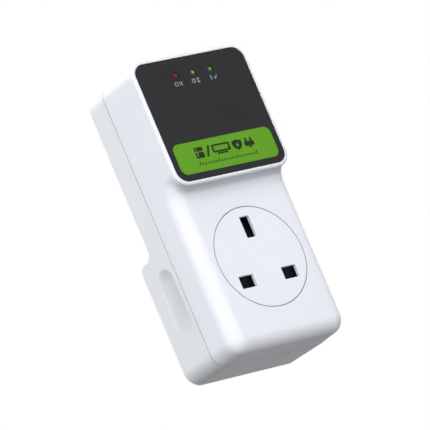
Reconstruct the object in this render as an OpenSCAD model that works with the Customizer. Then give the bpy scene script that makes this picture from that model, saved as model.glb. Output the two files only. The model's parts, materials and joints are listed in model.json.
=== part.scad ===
// Plug-in appliance voltage protector: a square-pin plug behind and a shuttered socket in front.
// +X is right seen from the front, +Y points to the wall and +Z is up.
// The origin lies on the plug face, in the middle of the plug's pin pattern.

/* [Case] */
// Width of the case at the parting line
body_w = 60.2; // [60:0.1:64]
// Height of the case
body_h = 125.9; // [124:0.1:134]
// Distance from the plug's centre down to the bottom of the case
body_drop = 27.9; // [27.5:0.1:31]
// Depth from the lower front face to the plug face
body_d = 38.2; // [38:0.1:42]
// Depth of the front shell's side walls
front_d = 16.7; // [15.5:0.1:17.5]
// Draft of the front shell in degrees
front_draft = 0.8; // [0.2:0.1:1.2]
// Draft of the rear shell in degrees
rear_draft = 1.9; // [0.5:0.1:2.4]
// Radius of the case's corners, seen from the front
corner_r = 6.8; // [6.7:0.1:8]
// Radius of the lower front edges
edge_r = 6.6; // [4:0.1:6.6]
// Wall thickness of both shells
wall = 2.2; // [1.9:0.1:2.4]
// Depth of the tongue that locates the rear shell
tongue_h = 1.4; // [1:0.1:2]

/* [Head] */
// How far the head stands out from the lower front
head_raise = 5.9; // [5.4:0.1:8]
// Height of the head's underside above the plug's centre
head_z = 42.2; // [41.5:0.1:44]
// Radius of the hollow under the head
under_r = 4.8; // [3:0.1:5]
// Width of the white rim round the panel
rim_w = 1.4; // [1.1:0.1:2.2]
// Radius of the rim's outer edge
rim_r = 1; // [0.6:0.1:1.1]
// Thickness of the dark overlay panel
panel_t = 0.5; // [0.3:0.1:0.8]
// Dark border beside the coloured band
band_inset = 2.9; // [2:0.1:5]
// Height of the coloured band
band_h = 13.3; // [8:0.1:18]
// Corner radius of the coloured band
band_r = 3; // [1:0.1:4]
// Thickness of the coloured band
band_t = 0.2; // [0.1:0.05:0.3]

/* [Indicator lamps] */
// Distance between lamps as a share of the case's width
lamp_share = 0.1495; // [0.12:0.0005:0.17]
// Distance from the top of the head down to the lamps
lamp_drop = 9.2; // [8.5:0.1:11]
// Radius of a lamp
lamp_r = 1.5; // [1:0.05:1.6]
// Length of a lamp's body
lamp_l = 5; // [4:0.1:7]
// Depth of the lamp's tip below the panel
lamp_sink = 0.2; // [0:0.05:0.6]

/* [Rear] */
// How far the lower block stands behind the upper back
rear_step = 9.6; // [8.5:0.1:9.8]
// Height of the step above the plug's centre
ledge_z = 26; // [24:0.1:30]
// Radius inside the step
step_in_r = 4; // [2:0.1:4.5]
// Radius on the step's outer edge
step_out_r = 3.6; // [2:0.1:4]
// Bevel round the plug face
base_bevel = 0.5; // [0.2:0.1:1]
// Thickness of the wall at the plug face
base_t = 3; // [2.6:0.1:3.2]
// Height of a finger grip
grip_h = 30; // [20:0.5:33]
// Width of a finger grip
grip_w = 9.5; // [6:0.1:10]
// Depth of a finger grip
grip_d = 1.3; // [0.6:0.1:1.4]
// Distance from the parting line to the finger grip
grip_gap = 2.5; // [2.2:0.1:4]
// Height of the finger grip's middle above the plug's centre
grip_z = 5; // [0:0.5:8]

/* [Pin pattern] */
// Spacing of the live and neutral pins, and the earth's height above them
pin_pitch = 22.23; // [22.1:0.01:22.35]
// Width of a live or neutral pin
live_w = 6.35; // [6.2:0.01:6.4]
// Height of a live or neutral pin
live_h = 4; // [3.9:0.01:4.05]
// Length of a live or neutral pin
live_l = 17.7; // [17.2:0.1:18.2]
// Width of the earth pin
earth_w = 4; // [3.9:0.01:4.05]
// Height of the earth pin
earth_h = 8; // [7.8:0.01:8.05]
// Length of the earth pin
earth_l = 22.7; // [22.2:0.1:23.2]
// Length of the insulating sleeves
sleeve_l = 9.3; // [8:0.1:9.5]
// Thickness of the insulating sleeves
sleeve_t = 0.4; // [0.3:0.05:0.6]
// Length of the bevels on the pin tips
tip_l = 1.6; // [0.8:0.1:2.4]
// Depth of the bevels on the pin tips
tip_in = 0.8; // [0.4:0.1:1.2]
// Rim of the pin's head beyond the pin
head_rim = 1.5; // [1:0.1:2]
// Thickness of the pin's head
pin_head_t = 3; // [2.4:0.1:3.4]
// Radius of the terminal stud on the pin's head
stud_r = 1.6; // [1.2:0.05:1.6]

/* [Socket] */
// Height of the socket's pattern above the plug's
socket_rise = 11.1; // [8:0.1:11.5]
// Share of the room between the apertures and the side wall that the round face takes
face_share = 0.327; // [0.25:0.001:0.35]
// Gap round the socket face
face_gap = 0.12; // [0.08:0.01:0.3]
// Height of the face's middle above the live and neutral apertures
face_lift = 9.05; // [8.5:0.05:9.6]
// Thickness of the socket face
face_t = 2.4; // [2:0.1:2.6]
// Width of a live or neutral aperture
slot_w = 7.5; // [7.2:0.05:7.7]
// Height of a live or neutral aperture
slot_h = 5.35; // [5:0.05:5.5]
// Width of the earth aperture
earth_slot_w = 4.85; // [4.6:0.05:5]
// Height of the earth aperture
earth_slot_h = 9.25; // [9:0.05:9.4]
// Width of the tabs that hold the face in the shell
tab_w = 6; // [4:0.1:8]
// How far the tabs reach behind the shell
tab_reach = 1.5; // [1:0.1:1.6]
// Thickness of the tabs
tab_t = 1.4; // [1:0.1:1.6]
// Thickness of the contact strip
strip_t = 0.8; // [0.5:0.05:0.9]
// Gap between the leaves of a contact
leaf_gap = 3.6; // [3:0.1:3.8]
// Flare at the mouth of a contact
leaf_flare = 0.9; // [0.4:0.1:1]
// Wall thickness of the contact carrier
cell_t = 1.4; // [1:0.1:1.5]

/* [Shutter] */
// Travel of the shutter
shutter_travel = 6.5; // [6.3:0.1:6.7]
// Thickness of the shutter plate
shutter_t = 3.6; // [3:0.1:3.8]
// Overlap of the shutter round each aperture
shutter_lap = 0.7; // [0.4:0.05:0.8]
// Half width of the shutter's middle bar
bar_half = 4.2; // [3.4:0.1:4.4]
// Half width of the earth ramp
ramp_half = 2.1; // [1.6:0.1:2.2]
// Depth of the earth ramp
ramp_d = 7; // [6.5:0.1:7.4]
// Outer radius of the shutter spring
spring_r = 1.4; // [1:0.05:1.5]
// Wire radius of the shutter spring
spring_wire_r = 0.2; // [0.15:0.01:0.22]
// Turns in the shutter spring
spring_turns = 6; // [4:1:7]

/* [Circuit board] */
// Distance from the case's side to the board
board_side = 4.6; // [4.2:0.1:5]
// How far the board reaches below the head's underside
board_below = 8.9; // [8:0.1:10]
// Thickness of the board
board_t = 1.6; // [1.2:0.1:2]
// Distance from the upper back's inner face to the board
board_post = 5.8; // [5:0.1:6.2]
// Distance from the top of the case down to the board
board_drop = 3.7; // [3.4:0.1:4.4]

/* [Relay] */
// Share of the board's width under the relay
relay_w_share = 0.533; // [0.5:0.005:0.54]
// Share of the height between the head's underside and the upper screws that the relay takes
relay_l_share = 0.845; // [0.82:0.005:0.85]
// Share of the depth before the board that the relay takes
relay_h_share = 0.872; // [0.84:0.005:0.9]
// Wall of the relay's cover
relay_wall = 1; // [0.8:0.1:1.2]
// Swing of the armature in degrees
armature_swing = 3.5; // [2:0.1:3.5]

/* [Components] */
// Radius of the filter capacitor as a share of the board's width
filter_r_share = 0.098; // [0.08:0.002:0.1]
// Height of the filter capacitor as a share of the lower depth
filter_h_share = 0.93; // [0.7:0.01:0.94]
// Radius of the small capacitor as a share of the board's width
small_cap_r_share = 0.062; // [0.05:0.002:0.066]
// Height of the small capacitor as a share of the lower depth
small_cap_h_share = 0.65; // [0.5:0.01:0.9]
// Radius of the varistor as a share of the left column's height
varistor_r_share = 0.16; // [0.12:0.005:0.165]
// Thickness of the varistor as a share of the board's width
varistor_t_share = 0.086; // [0.06:0.002:0.1]
// Length of the dropper capacitor as a share of the left column's height
dropper_l_share = 0.415; // [0.3:0.005:0.42]
// Width of the dropper capacitor as a share of the board's width
dropper_w_share = 0.166; // [0.12:0.002:0.17]
// Height of the dropper capacitor as a share of the lower depth
dropper_h_share = 0.86; // [0.6:0.01:0.94]
// Length of the controller chip as a share of the board's height
chip_l_share = 0.315; // [0.29:0.005:0.32]
// Width of the controller chip as a share of the board's width
chip_w_share = 0.126; // [0.11:0.002:0.13]
// Radius of a diode as a share of the left column's height
diode_r_share = 0.0272; // [0.018:0.0001:0.028]
// Length of a diode as a share of the board's width
diode_l_share = 0.098; // [0.08:0.002:0.106]
// Radius of a resistor as a share of the height that the relay stands in
resistor_r_share = 0.0265; // [0.016:0.0005:0.027]
// Length of a resistor as a share of the board's width
resistor_l_share = 0.121; // [0.1:0.001:0.124]

/* [Screws and wires] */
// Radius of a case screw
screw_r = 1.5; // [1.25:0.05:1.6]
// Length of a case screw
screw_l = 18; // [16:0.5:19]
// Radius of a case screw's head
screw_head_r = 2.7; // [2.5:0.05:2.9]
// Thickness of a case screw's head
screw_head_t = 2; // [1.6:0.1:2.2]
// Radius of a small screw
small_screw_r = 1; // [0.9:0.05:1.1]
// Length of a small screw
small_screw_l = 5; // [4:0.1:5]
// Radius of a small screw's head
small_head_r = 1.9; // [1.8:0.05:2]
// Thickness of a small screw's head
small_head_t = 1.4; // [1.2:0.1:1.6]
// Radius of the insulated mains wires
wire_r = 1.3; // [1:0.05:1.5]
// Radius of the thin supply wire
thin_wire_r = 0.6; // [0.4:0.05:0.8]

/* [Hidden] */

// How far a cut runs past the face it opens
over = 1;
// Thickness of the slices that a drafted shell is stretched over
slice_t = 0.02;
// Running clearance of the shutter
run_gap = 0.3;
// Clearance round a fixed piece in its seat
seat_gap = 0.1;
// Clearance of a screw in a plain hole
screw_gap = 0.2;
// Clearance of a screw in its thread
thread_gap = 0.05;
// Space left between neighbouring pieces
room = 0.6;
// Steps round a rounded front edge
edge_steps = 6;

// Places front to back
plug_y = 0;
front_y = plug_y - body_d;
parting_y = front_y + front_d;
head_y = front_y - head_raise;
back_y = plug_y - rear_step;
base_in_y = plug_y - base_t;
back_in_y = back_y - wall;
front_in_y = front_y + wall;

// Heights
bottom_z = -body_drop;
top_z = body_h - body_drop;
plug_live_z = -pin_pitch / 2;
plug_earth_z = pin_pitch / 2;
live_z = plug_live_z + socket_rise;
earth_z = live_z + pin_pitch;
face_z = live_z + face_lift;
pin_x = pin_pitch / 2;

function side_in(y) = abs(y - parting_y) * tan(y < parting_y ? front_draft : rear_draft);
function half_w(y) = body_w / 2 - side_in(y);

// The head's rim and panel
head_inset = 0.04;
panel_half = half_w(head_y) - head_inset - rim_w;
panel_low = head_z + side_in(head_y) + rim_w;
panel_high = top_z - side_in(head_y) - head_inset - rim_w;
panel_r = corner_r - rim_w;
band_low = panel_low + band_inset;
lamp_z = top_z - lamp_drop;
lamp_pitch = body_w * lamp_share;

// Case screws, their bosses and their tubes
boss_wall = 1.7;
tube_wall = 1.5;
screw_side = 1.6;
screw_rise = 0.8;
screw_drop = 3.6;
boss_back = 1;
seat_floor = 0.4;
boss_r = screw_r + boss_wall;
tube_r = screw_head_r + tube_wall;
screw_x = body_w / 2 - wall - tube_r - screw_side;
screw_low_z = bottom_z + wall + tube_r + screw_rise;
screw_high_z = top_z - wall - tube_r - screw_drop;
boss_end_y = parting_y - boss_back;
screw_seat_y = back_in_y - seat_floor;
screw_heights = [screw_low_z, screw_high_z];

// Board, its posts and screws
post_wall = 1.6;
post_rise = 1.4;
board_back_y = back_in_y - board_post;
board_y = board_back_y - board_t;
board_w = body_w - 2 * board_side;
board_top = top_z - board_drop;
board_low = head_z - board_below;
board_h = board_top - board_low;
low_depth = board_y - front_in_y;
post_r = small_screw_r + post_wall;
post_low_x = board_w / 2 - post_r - room;
post_high_x = screw_x - tube_r - post_r - 2 * room;
post_low_z = board_low + post_r + post_rise;
post_high_z = board_top - post_r - room / 2;
board_posts = [[-post_low_x, post_low_z], [post_low_x, post_low_z], [-post_high_x, post_high_z],
    [post_high_x, post_high_z]];

// Plug pins and their clamp
clamp_t = 2.5;
clamp_lap = 1.6;
clamp_wall = 1.4;
clamp_share = 0.56;
stud_out = 1;
head_in_y = base_in_y - pin_head_t;
clamp_y = head_in_y - clamp_t;
clamp_screws = [plug_live_z, plug_live_z + pin_pitch * clamp_share];
clamp_boss_r = small_screw_r + clamp_wall;
lug_y = clamp_y - strip_t;
stud_end_y = lug_y - stud_out;

// Socket parts from front to back
plate_t = 1.5;
ear_share = 0.68;
ear_side = 1.6;
face_back_y = front_y + face_t;
aperture_reach = norm([pin_x + slot_w / 2, face_lift + slot_h / 2]);
face_r = aperture_reach + (half_w(front_in_y) - wall - aperture_reach) * face_share;
tab_y = front_in_y;
tab_back_y = tab_y + tab_t;
tab_r = face_r + tab_reach;
shutter_y = face_back_y + run_gap;
shutter_back_y = shutter_y + shutter_t;
plate_y = shutter_back_y + run_gap;
plate_back_y = plate_y + plate_t;
plate_r = tab_r + room;
ear_x = half_w(plate_y) - wall - small_head_r - ear_side;
ear_z = face_z + plate_r * ear_share;
ear_r = small_screw_r + post_wall;

// Contacts
contact_gap = 0.05;
flare_gap = 0.3;
mouth_in = 0.5;
contact_over = 0.65;
live_spare = 2.6;
earth_spare = 1.6;
ramp_tail = 0.8;
live_contact_w = live_w + contact_over;
live_mouth_y = plate_y + mouth_in;
live_back_y = front_y + live_l + strip_t + live_spare;
earth_contact_w = earth_h;
ramp_back_y = shutter_y + ramp_d + ramp_tail;
earth_mouth_y = ramp_back_y + room;
earth_back_y = front_y + earth_l + strip_t + earth_spare;
leaf_half = leaf_gap / 2;
mouth_half = leaf_half + leaf_flare;
live_cell_x = live_contact_w / 2 + contact_gap;
live_cell_z = mouth_half + strip_t + flare_gap;
earth_cell_x = live_cell_z;
earth_cell_z = earth_contact_w / 2 + contact_gap;

// Shutter places
peg_h = 1.6;
ramp_head = 3;
foot_gap = 0.2;
guide_t = 1.2;
window_gap = 0.4;
guide_drop = 1;
pad_half_w = slot_w / 2 + shutter_lap;
pad_half_h = slot_h / 2 + shutter_lap;
window_low = live_z + pad_half_h + window_gap;
peg_low = window_low + run_gap;
window_high = earth_z - earth_h / 2 - ramp_head;
window_half = spring_r + window_gap;
peg_half = window_half - run_gap;
ramp_low = window_high;
ramp_foot = earth_z - earth_h / 2 - foot_gap;
spring_low = peg_low + peg_h;
guide_low = live_z + pad_half_h + room;
guide_high = window_high - guide_drop;

// Wires and straps
strap_w = 5;
lug_rim = 1.7;
line_out = 5.6;
load_in = 3.6;
neutral_out = 2.4;
wire_rise = 2.2;
wire_back = 3;
lug_r = stud_r + lug_rim;
wire_low_z = board_low + wire_rise;
line_wire_x = pin_x + line_out;
line_end_gap = 1.7;
line_end_x = post_low_x - post_r - wire_r - line_end_gap;
load_wire_x = pin_x - load_in;
neutral_wire_x = -pin_x - neutral_out;
wire_y = board_back_y + wire_back;

white = [0.93, 0.94, 0.95];
black = [0.06, 0.06, 0.07];
charcoal = [0.2, 0.2, 0.21];
steel = [0.7, 0.71, 0.73];
brass = [0.8, 0.66, 0.32];

// Stretches a flat outline in X and Z from y0 back to y1
module along_y(y0, y1) {
    translate([0, y1, 0]) rotate([90, 0, 0]) linear_extrude(y1 - y0) children();
}

// A round rod along Y
module rod_y(x, z, r, y0, y1) {
    along_y(y0, y1) translate([x, z]) circle(r = r, $fn = 48);
}

// A box between two corners
module span(low, high) {
    translate(low) cube(high - low);
}

// A rectangle with round corners between two corners
module round_rect(low, high, r) {
    translate([low[0] + r, low[1]]) square([high[0] - low[0] - 2 * r, high[1] - low[1]]);
    translate([low[0], low[1] + r]) square([high[0] - low[0], high[1] - low[1] - 2 * r]);
    for (x = [low[0] + r, high[0] - r], z = [low[1] + r, high[1] - r])
        translate([x, z]) circle(r = r, $fn = 64);
}

// An outline in Y and Z carried along X, centred
module across_x(w) {
    rotate([90, 0, 90]) linear_extrude(w, center = true) children();
}

// Four short round slices at the corners of the case's outline at one depth
module corner_slices(y, inset, low, high) {
    r = max(corner_r - inset, slice_t);
    x = half_w(y) - inset - r;
    for (side = [-1, 1], z = [low + side_in(y) + inset + r, high - side_in(y) - inset - r])
        translate([side * x, y, z]) rotate([90, 0, 0]) cylinder(r = r, h = slice_t, center = true, $fn = 32);
}

// A drafted block with a rounded front edge
module drafted_block(y_front, r, y_back, inset, low, high) {
    hull() {
        for (step = [0:edge_steps]) {
            a = 90 * step / edge_steps;
            corner_slices(y_front + r * (1 - cos(a)), inset + r * (1 - sin(a)), low, high);
        }
        corner_slices(parting_y, inset, low, high);
        corner_slices(y_back, inset, low, high);
    }
}

// The hollow blend under the head, along its lower edge and round its lower corners
module under_blend() {
    centre_x = half_w(front_y) - corner_r;
    centre_z = head_z + side_in(front_y) + corner_r;
    r = corner_r - head_inset;
    bite = 0.05;
    translate([0, 0, centre_z - r])
        across_x(2 * centre_x)
            difference() {
                translate([front_y - under_r, -under_r]) square([under_r + over, under_r + over]);
                translate([front_y - under_r + bite, -under_r - bite]) circle(r = under_r, $fn = 64);
            }
    for (side = [0, 1])
        mirror([side, 0, 0]) translate([centre_x, 0, centre_z]) rotate([-90, 0, 0])
            rotate_extrude(angle = 90, $fn = 96)
                difference() {
                    translate([r - over, front_y - under_r]) square([under_r + over, under_r + over]);
                    translate([r + under_r + bite, front_y - under_r + bite]) circle(r = under_r, $fn = 64);
                }
}

// Two stacked wedges that carry the rounded front edges up through the blend
module blend_limit() {
    rise_share = 0.7;
    depth_share = 1 - sqrt(1 - rise_share * rise_share);
    low = head_z - under_r;
    levels = [[low, front_y], [low + under_r * rise_share, front_y - under_r * depth_share],
        [head_z + head_inset, front_y - under_r], [head_z + 2 * corner_r, front_y - under_r]];
    for (first = [0, 1])
        hull() for (level = [for (i = [first:first == 0 ? 1 : 3]) levels[i]], step = [0:edge_steps]) {
            a = 90 * step / edge_steps;
            y = level[1] + edge_r * (1 - cos(a));
            reach = half_w(y) - head_inset - edge_r * (1 - sin(a));
            translate([0, y, level[0]]) cube([2 * reach, slice_t, slice_t], center = true);
        }
}

module front_outside() {
    drafted_block(front_y, edge_r, parting_y + over, 0, bottom_z, top_z);
    drafted_block(head_y, rim_r, front_y + edge_r, head_inset, head_z, top_z);
    intersection() {
        under_blend();
        blend_limit();
    }
}

module front_inside() {
    drafted_block(front_in_y, edge_r - wall, parting_y + over, wall, bottom_z, top_z);
    drafted_block(head_y + wall, rim_r, front_in_y + edge_r, wall + head_inset, head_z, top_z);
}

module front_shell() {
    color(white) difference() {
        union() {
            difference() {
                front_outside();
                front_inside();
                span([-body_w, parting_y, bottom_z - over], [body_w, parting_y + 2 * over, top_z + over]);
            }
            tongue();
            for (x = [-screw_x, screw_x]) {
                rod_y(x, screw_low_z, boss_r, front_in_y - wall / 4, boss_end_y);
                rod_y(x, screw_high_z, boss_r, head_y + wall - wall / 4, boss_end_y);
            }
            for (x = [-ear_x, ear_x]) rod_y(x, ear_z, ear_r, front_in_y - wall / 4, plate_y);
        }
        for (x = [-screw_x, screw_x], z = screw_heights)
            rod_y(x, z, screw_r + thread_gap, screw_seat_y - screw_l - over, boss_end_y + over);
        for (x = [-ear_x, ear_x])
            rod_y(x, ear_z, small_screw_r + thread_gap, plate_back_y - small_screw_l - over / 2,
                plate_y + over);
        rod_y(0, face_z, face_r + face_gap, front_y - over, front_in_y + over);
        along_y(head_y - over, head_y + panel_t)
            round_rect([-panel_half, panel_low], [panel_half, panel_high], panel_r);
        for (i = [-1:1])
            rod_y(i * lamp_pitch, lamp_z, lamp_r + screw_gap, head_y - over, head_y + wall + over);
    }
}

// Inner half of the wall, carried past the parting line
module tongue() {
    inset = wall / 2 + seat_gap / 2;
    depth = 1.6;
    along_y(parting_y - depth, parting_y + tongue_h)
        difference() {
            case_outline(parting_y, inset);
            case_outline(parting_y, wall);
        }
}

module case_outline(y, inset) {
    round_rect([inset - half_w(y), bottom_z + side_in(y) + inset],
        [half_w(y) - inset, top_z - side_in(y) - inset], corner_r - inset);
}

// The space behind the upper back, with the step's two radii; grow moves it into the case
module behind_step(grow) {
    y = back_y - grow;
    z = ledge_z - grow;
    r = step_in_r - grow / 2;
    reach = rear_step + grow + over;
    across_x(2 * body_w) {
        translate([y, z + r]) square([reach, body_h]);
        translate([y + r, z]) square([reach - r, body_h]);
        translate([y + r, z + r]) circle(r = r, $fn = 64);
        if (grow == 0)
            difference() {
                translate([plug_y - step_out_r, z - step_out_r])
                    square([step_out_r + over, step_out_r + over]);
                translate([plug_y - step_out_r, z - step_out_r]) circle(r = step_out_r, $fn = 64);
            }
    }
}

module rear_block(inset, y_front, y_back, bevel) {
    hull() {
        corner_slices(y_front, inset, bottom_z, top_z);
        corner_slices(parting_y, inset, bottom_z, top_z);
        corner_slices(y_back - bevel, inset, bottom_z, top_z);
        corner_slices(y_back + bevel, inset + 2 * bevel, bottom_z, top_z);
    }
}

module rear_shell() {
    color(white) difference() {
        union() {
            difference() {
                rear_block(0, parting_y - over, plug_y, base_bevel);
                difference() {
                    rear_block(wall, parting_y - 2 * over, base_in_y, slice_t);
                    behind_step(wall);
                    grip_solid(wall);
                }
                span([-body_w, parting_y - 3 * over, bottom_z - over], [body_w, parting_y, top_z + over]);
                along_y(parting_y - over, parting_y + tongue_h + seat_gap)
                    case_outline(parting_y, wall / 2 - seat_gap / 2);
            }
            for (x = [-screw_x, screw_x]) {
                rod_y(x, screw_low_z, tube_r, boss_end_y + run_gap, base_in_y + over);
                rod_y(x, screw_high_z, tube_r, boss_end_y + run_gap, back_in_y + over);
            }
            for (p = board_posts) rod_y(p[0], p[1], post_r, board_back_y, back_in_y + over);
            for (z = clamp_screws) rod_y(0, z, clamp_boss_r, head_in_y, base_in_y + over);
        }
        span([-body_w, plug_y, bottom_z - over], [body_w, plug_y + 2 * over, top_z + over]);
        behind_step(0);
        grip_solid(0);
        for (x = [-screw_x, screw_x], z = screw_heights) {
            rod_y(x, z, screw_head_r + screw_gap, screw_seat_y, plug_y + over);
            rod_y(x, z, screw_r + screw_gap, boss_end_y - over, screw_seat_y + over);
        }
        for (p = board_posts)
            rod_y(p[0], p[1], small_screw_r + thread_gap, board_back_y - over,
                board_y + small_screw_l + seat_gap);
        for (z = clamp_screws)
            rod_y(0, z, small_screw_r + thread_gap, head_in_y - over, clamp_y + small_screw_l + seat_gap);
        for (x = [-pin_x, pin_x])
            pin_slot([x, plug_live_z], live_w, live_h);
        pin_slot([0, plug_earth_z], earth_w, earth_h);
    }
}

// Finger grips scooped with a round tool; grow gives the thickened wall behind them
module grip_solid(grow) {
    y = parting_y + grip_gap + grip_w / 2;
    scoop_r = (grip_d * grip_d + grip_w * grip_w / 4) / (2 * grip_d);
    x = half_w(y) - grip_d + scoop_r;
    r = scoop_r + grow;
    half = grip_h / 2 - grip_w / 2;
    bead = 0.02;
    for (side = [0, 1])
        mirror([side, 0, 0]) translate([x, y, grip_z]) {
            cylinder(r = r, h = 2 * half, center = true, $fn = 96);
            for (z = [-half, half]) translate([0, 0, z]) sphere(r = r + bead, $fn = 96);
        }
}

module pin_slot(at, w, h) {
    along_y(base_in_y - over, plug_y + over)
        translate(at) square([w + 2 * seat_gap, h + 2 * seat_gap], center = true);
}

module socket_face() {
    color(white) difference() {
        union() {
            rod_y(0, face_z, face_r, front_y, face_back_y);
            for (a = [0:90:270])
                translate([0, 0, face_z]) rotate([0, a, 0])
                    span([face_r - tab_reach, tab_y, -tab_w / 2], [tab_r, tab_back_y, tab_w / 2]);
        }
        for (x = [-pin_x, pin_x]) aperture([x, live_z], slot_w, slot_h);
        aperture([0, earth_z], earth_slot_w, earth_slot_h);
    }
}

module aperture(at, w, h) {
    along_y(front_y - over, face_back_y + over) translate(at) square([w, h], center = true);
}

module shutter() {
    slope = 0.9;
    bar_head = 1.4;
    color(black) difference() {
        union() {
            along_y(shutter_y, shutter_back_y) {
                for (x = [-pin_x, pin_x])
                    translate([x, live_z]) square([2 * pad_half_w, 2 * pad_half_h], center = true);
                translate([-pin_x, live_z - pad_half_h]) square([2 * pin_x, 2 * pad_half_h]);
                translate([-bar_half, live_z])
                    square([2 * bar_half, ramp_low + bar_head - live_z]);
            }
            across_x(2 * ramp_half)
                polygon([[shutter_y, ramp_low], [ramp_back_y, ramp_low],
                    [ramp_back_y, ramp_foot + shutter_travel], [shutter_y + ramp_d, ramp_foot + shutter_travel],
                    [shutter_y, ramp_foot]]);
        }
        span([-window_half, shutter_y - over, window_low], [window_half, shutter_back_y + over, window_high]);
        // A shallow slope sunk into each pad
        for (x = [-pin_x, pin_x])
            translate([x, 0, live_z])
                across_x(slot_w)
                    polygon([[shutter_y - over, -slot_h / 2], [shutter_y - over, slot_h / 2],
                        [shutter_y, slot_h / 2], [shutter_y + slope, -slot_h / 2]]);
    }
}

// A sprung coil with level end turns, swept as one tube
module coil_spring(r, wire, low, high, turns, sides) {
    per_turn = 20;
    rings = turns * per_turn;
    rise = high - low - 2 * wire;
    points = [for (i = [0:rings]) let (a = 360 * i / per_turn, z = low + wire + rise * i / rings)
        for (k = [0:sides - 1]) let (b = 360 * k / sides, out = r + wire * cos(b))
            [out * cos(a), out * sin(a), z + wire * sin(b)]];
    walls = [for (i = [0:rings - 1], k = [0:sides - 1]) let (m = (k + 1) % sides)
        [i * sides + k, (i + 1) * sides + k, (i + 1) * sides + m, i * sides + m]];
    ends = [[for (k = [0:sides - 1]) k], [for (k = [sides - 1:-1:0]) rings * sides + k]];
    polyhedron(points = points, faces = concat(walls, ends), convexity = turns);
}

module shutter_spring() {
    color(steel) translate([0, (shutter_y + shutter_back_y) / 2, 0])
        coil_spring(spring_r - spring_wire_r, spring_wire_r, spring_low, window_high, spring_turns, 6);
}

module overlay_panel() {
    color(charcoal) difference() {
        along_y(head_y, head_y + panel_t)
            round_rect([seat_gap - panel_half, panel_low + seat_gap],
                [panel_half - seat_gap, panel_high - seat_gap], panel_r - seat_gap);
        along_y(head_y - over, head_y + band_t) band_outline(0);
        for (i = [-1:1])
            rod_y(i * lamp_pitch, lamp_z, lamp_r + seat_gap, head_y - over, head_y + panel_t + over);
    }
}

module band_outline(inset) {
    half = panel_half - band_inset - inset;
    round_rect([-half, band_low + inset], [half, band_low + band_h - inset], band_r - inset);
}

module rating_band() {
    color([0.4, 0.63, 0.18]) along_y(head_y, head_y + band_t) band_outline(seat_gap / 2);
}

// A lamp with its rim and its two legs down to the board
module lamp(index, tint) {
    rim_t = 0.9;
    rim = 0.4;
    leg = 0.5;
    leg_x = 1.27;
    tip_y = head_y + lamp_sink;
    base_y = tip_y + lamp_l;
    x = index * lamp_pitch;
    color(tint) {
        rod_y(x, lamp_z, lamp_r, tip_y + lamp_r, base_y);
        intersection() {
            translate([x, tip_y + lamp_r, lamp_z]) sphere(r = lamp_r, $fn = 48);
            span([x - lamp_r, tip_y, lamp_z - lamp_r], [x + lamp_r, tip_y + lamp_r + leg, lamp_z + lamp_r]);
        }
        rod_y(x, lamp_z, lamp_r + rim, base_y - rim_t, base_y);
        for (side = [-leg_x, leg_x])
            span([x + side - leg / 2, base_y - leg, lamp_z - leg / 2],
                [x + side + leg / 2, board_y, lamp_z + leg / 2]);
    }
}

module red_lamp() { lamp(-1, "crimson"); }
module amber_lamp() { lamp(0, "goldenrod"); }
module green_lamp() { lamp(1, "limegreen"); }

// The carrier's three boxes as [x, z, half width, half height, back end, wall]
function cells(t) = [[-pin_x, live_z, live_cell_x, live_cell_z, live_back_y - strip_t, t],
    [pin_x, live_z, live_cell_x, live_cell_z, live_back_y - strip_t, t],
    [0, earth_z, earth_cell_x, earth_cell_z, earth_back_y - strip_t, t]];

module cell_block(c, y0, y1) {
    span([c[0] - c[2] - c[5], y0, c[1] - c[3] - c[5]], [c[0] + c[2] + c[5], y1, c[1] + c[3] + c[5]]);
}

module contact_carrier() {
    ramp_room = ramp_half + run_gap;
    slot_low = ramp_low - shutter_travel - run_gap;
    color([0.88, 0.88, 0.86]) {
        difference() {
            union() {
                rod_y(0, face_z, plate_r, plate_y, plate_back_y);
                for (x = [-ear_x, ear_x]) rod_y(x, ear_z, ear_r, plate_y, plate_back_y);
                span([-ear_x, plate_y, ear_z - ear_r], [ear_x, plate_back_y, ear_z + ear_r]);
                span([-ramp_room - cell_t, plate_y, slot_low - cell_t],
                    [ramp_room + cell_t, ramp_back_y + run_gap, earth_z]);
                for (c = cells(cell_t)) cell_block(c, plate_y, c[4]);
            }
            for (c = cells(0)) cell_block(c, plate_y - over, c[4] + over);
            span([-ramp_room, plate_y - over, slot_low], [ramp_room, ramp_back_y + run_gap + over / 2, earth_z]);
            for (x = [-ear_x, ear_x])
                rod_y(x, ear_z, small_screw_r + screw_gap, plate_y - over, plate_back_y + over);
        }
        for (a = [0:90:270])
            translate([0, 0, face_z]) rotate([0, a, 0])
                span([face_r + seat_gap, tab_back_y, -tab_w / 2], [tab_r, plate_y + plate_t / 2, tab_w / 2]);
        for (side = [0, 1])
            mirror([side, 0, 0])
                span([bar_half + run_gap, shutter_y + run_gap, guide_low],
                    [bar_half + run_gap + guide_t, plate_y + plate_t / 2, guide_high]);
        span([-peg_half, shutter_y + run_gap, peg_low], [peg_half, plate_y + plate_t / 2, peg_low + peg_h]);
    }
}

// Strip bent into a clip, from the flared mouth at y0 to the closed back at y1
module clip_outline(y0, y1) {
    throat = y0 + 2 * leaf_flare;
    polygon([[y0, mouth_half + strip_t], [throat, leaf_half + strip_t], [y1, leaf_half + strip_t],
        [y1, -leaf_half - strip_t], [throat, -leaf_half - strip_t], [y0, -mouth_half - strip_t],
        [y0, -mouth_half], [throat, -leaf_half], [y1 - strip_t, -leaf_half],
        [y1 - strip_t, leaf_half], [throat, leaf_half], [y0, mouth_half]]);
}

module live_clip(x) {
    color(brass) translate([x, 0, live_z]) across_x(live_contact_w) clip_outline(live_mouth_y, live_back_y);
}

module line_contact() { live_clip(pin_x); }
module neutral_contact() { live_clip(-pin_x); }

module earth_contact() {
    color(brass) translate([0, 0, earth_z]) rotate([0, 90, 0]) across_x(earth_contact_w)
        clip_outline(earth_mouth_y, earth_back_y);
}

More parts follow.
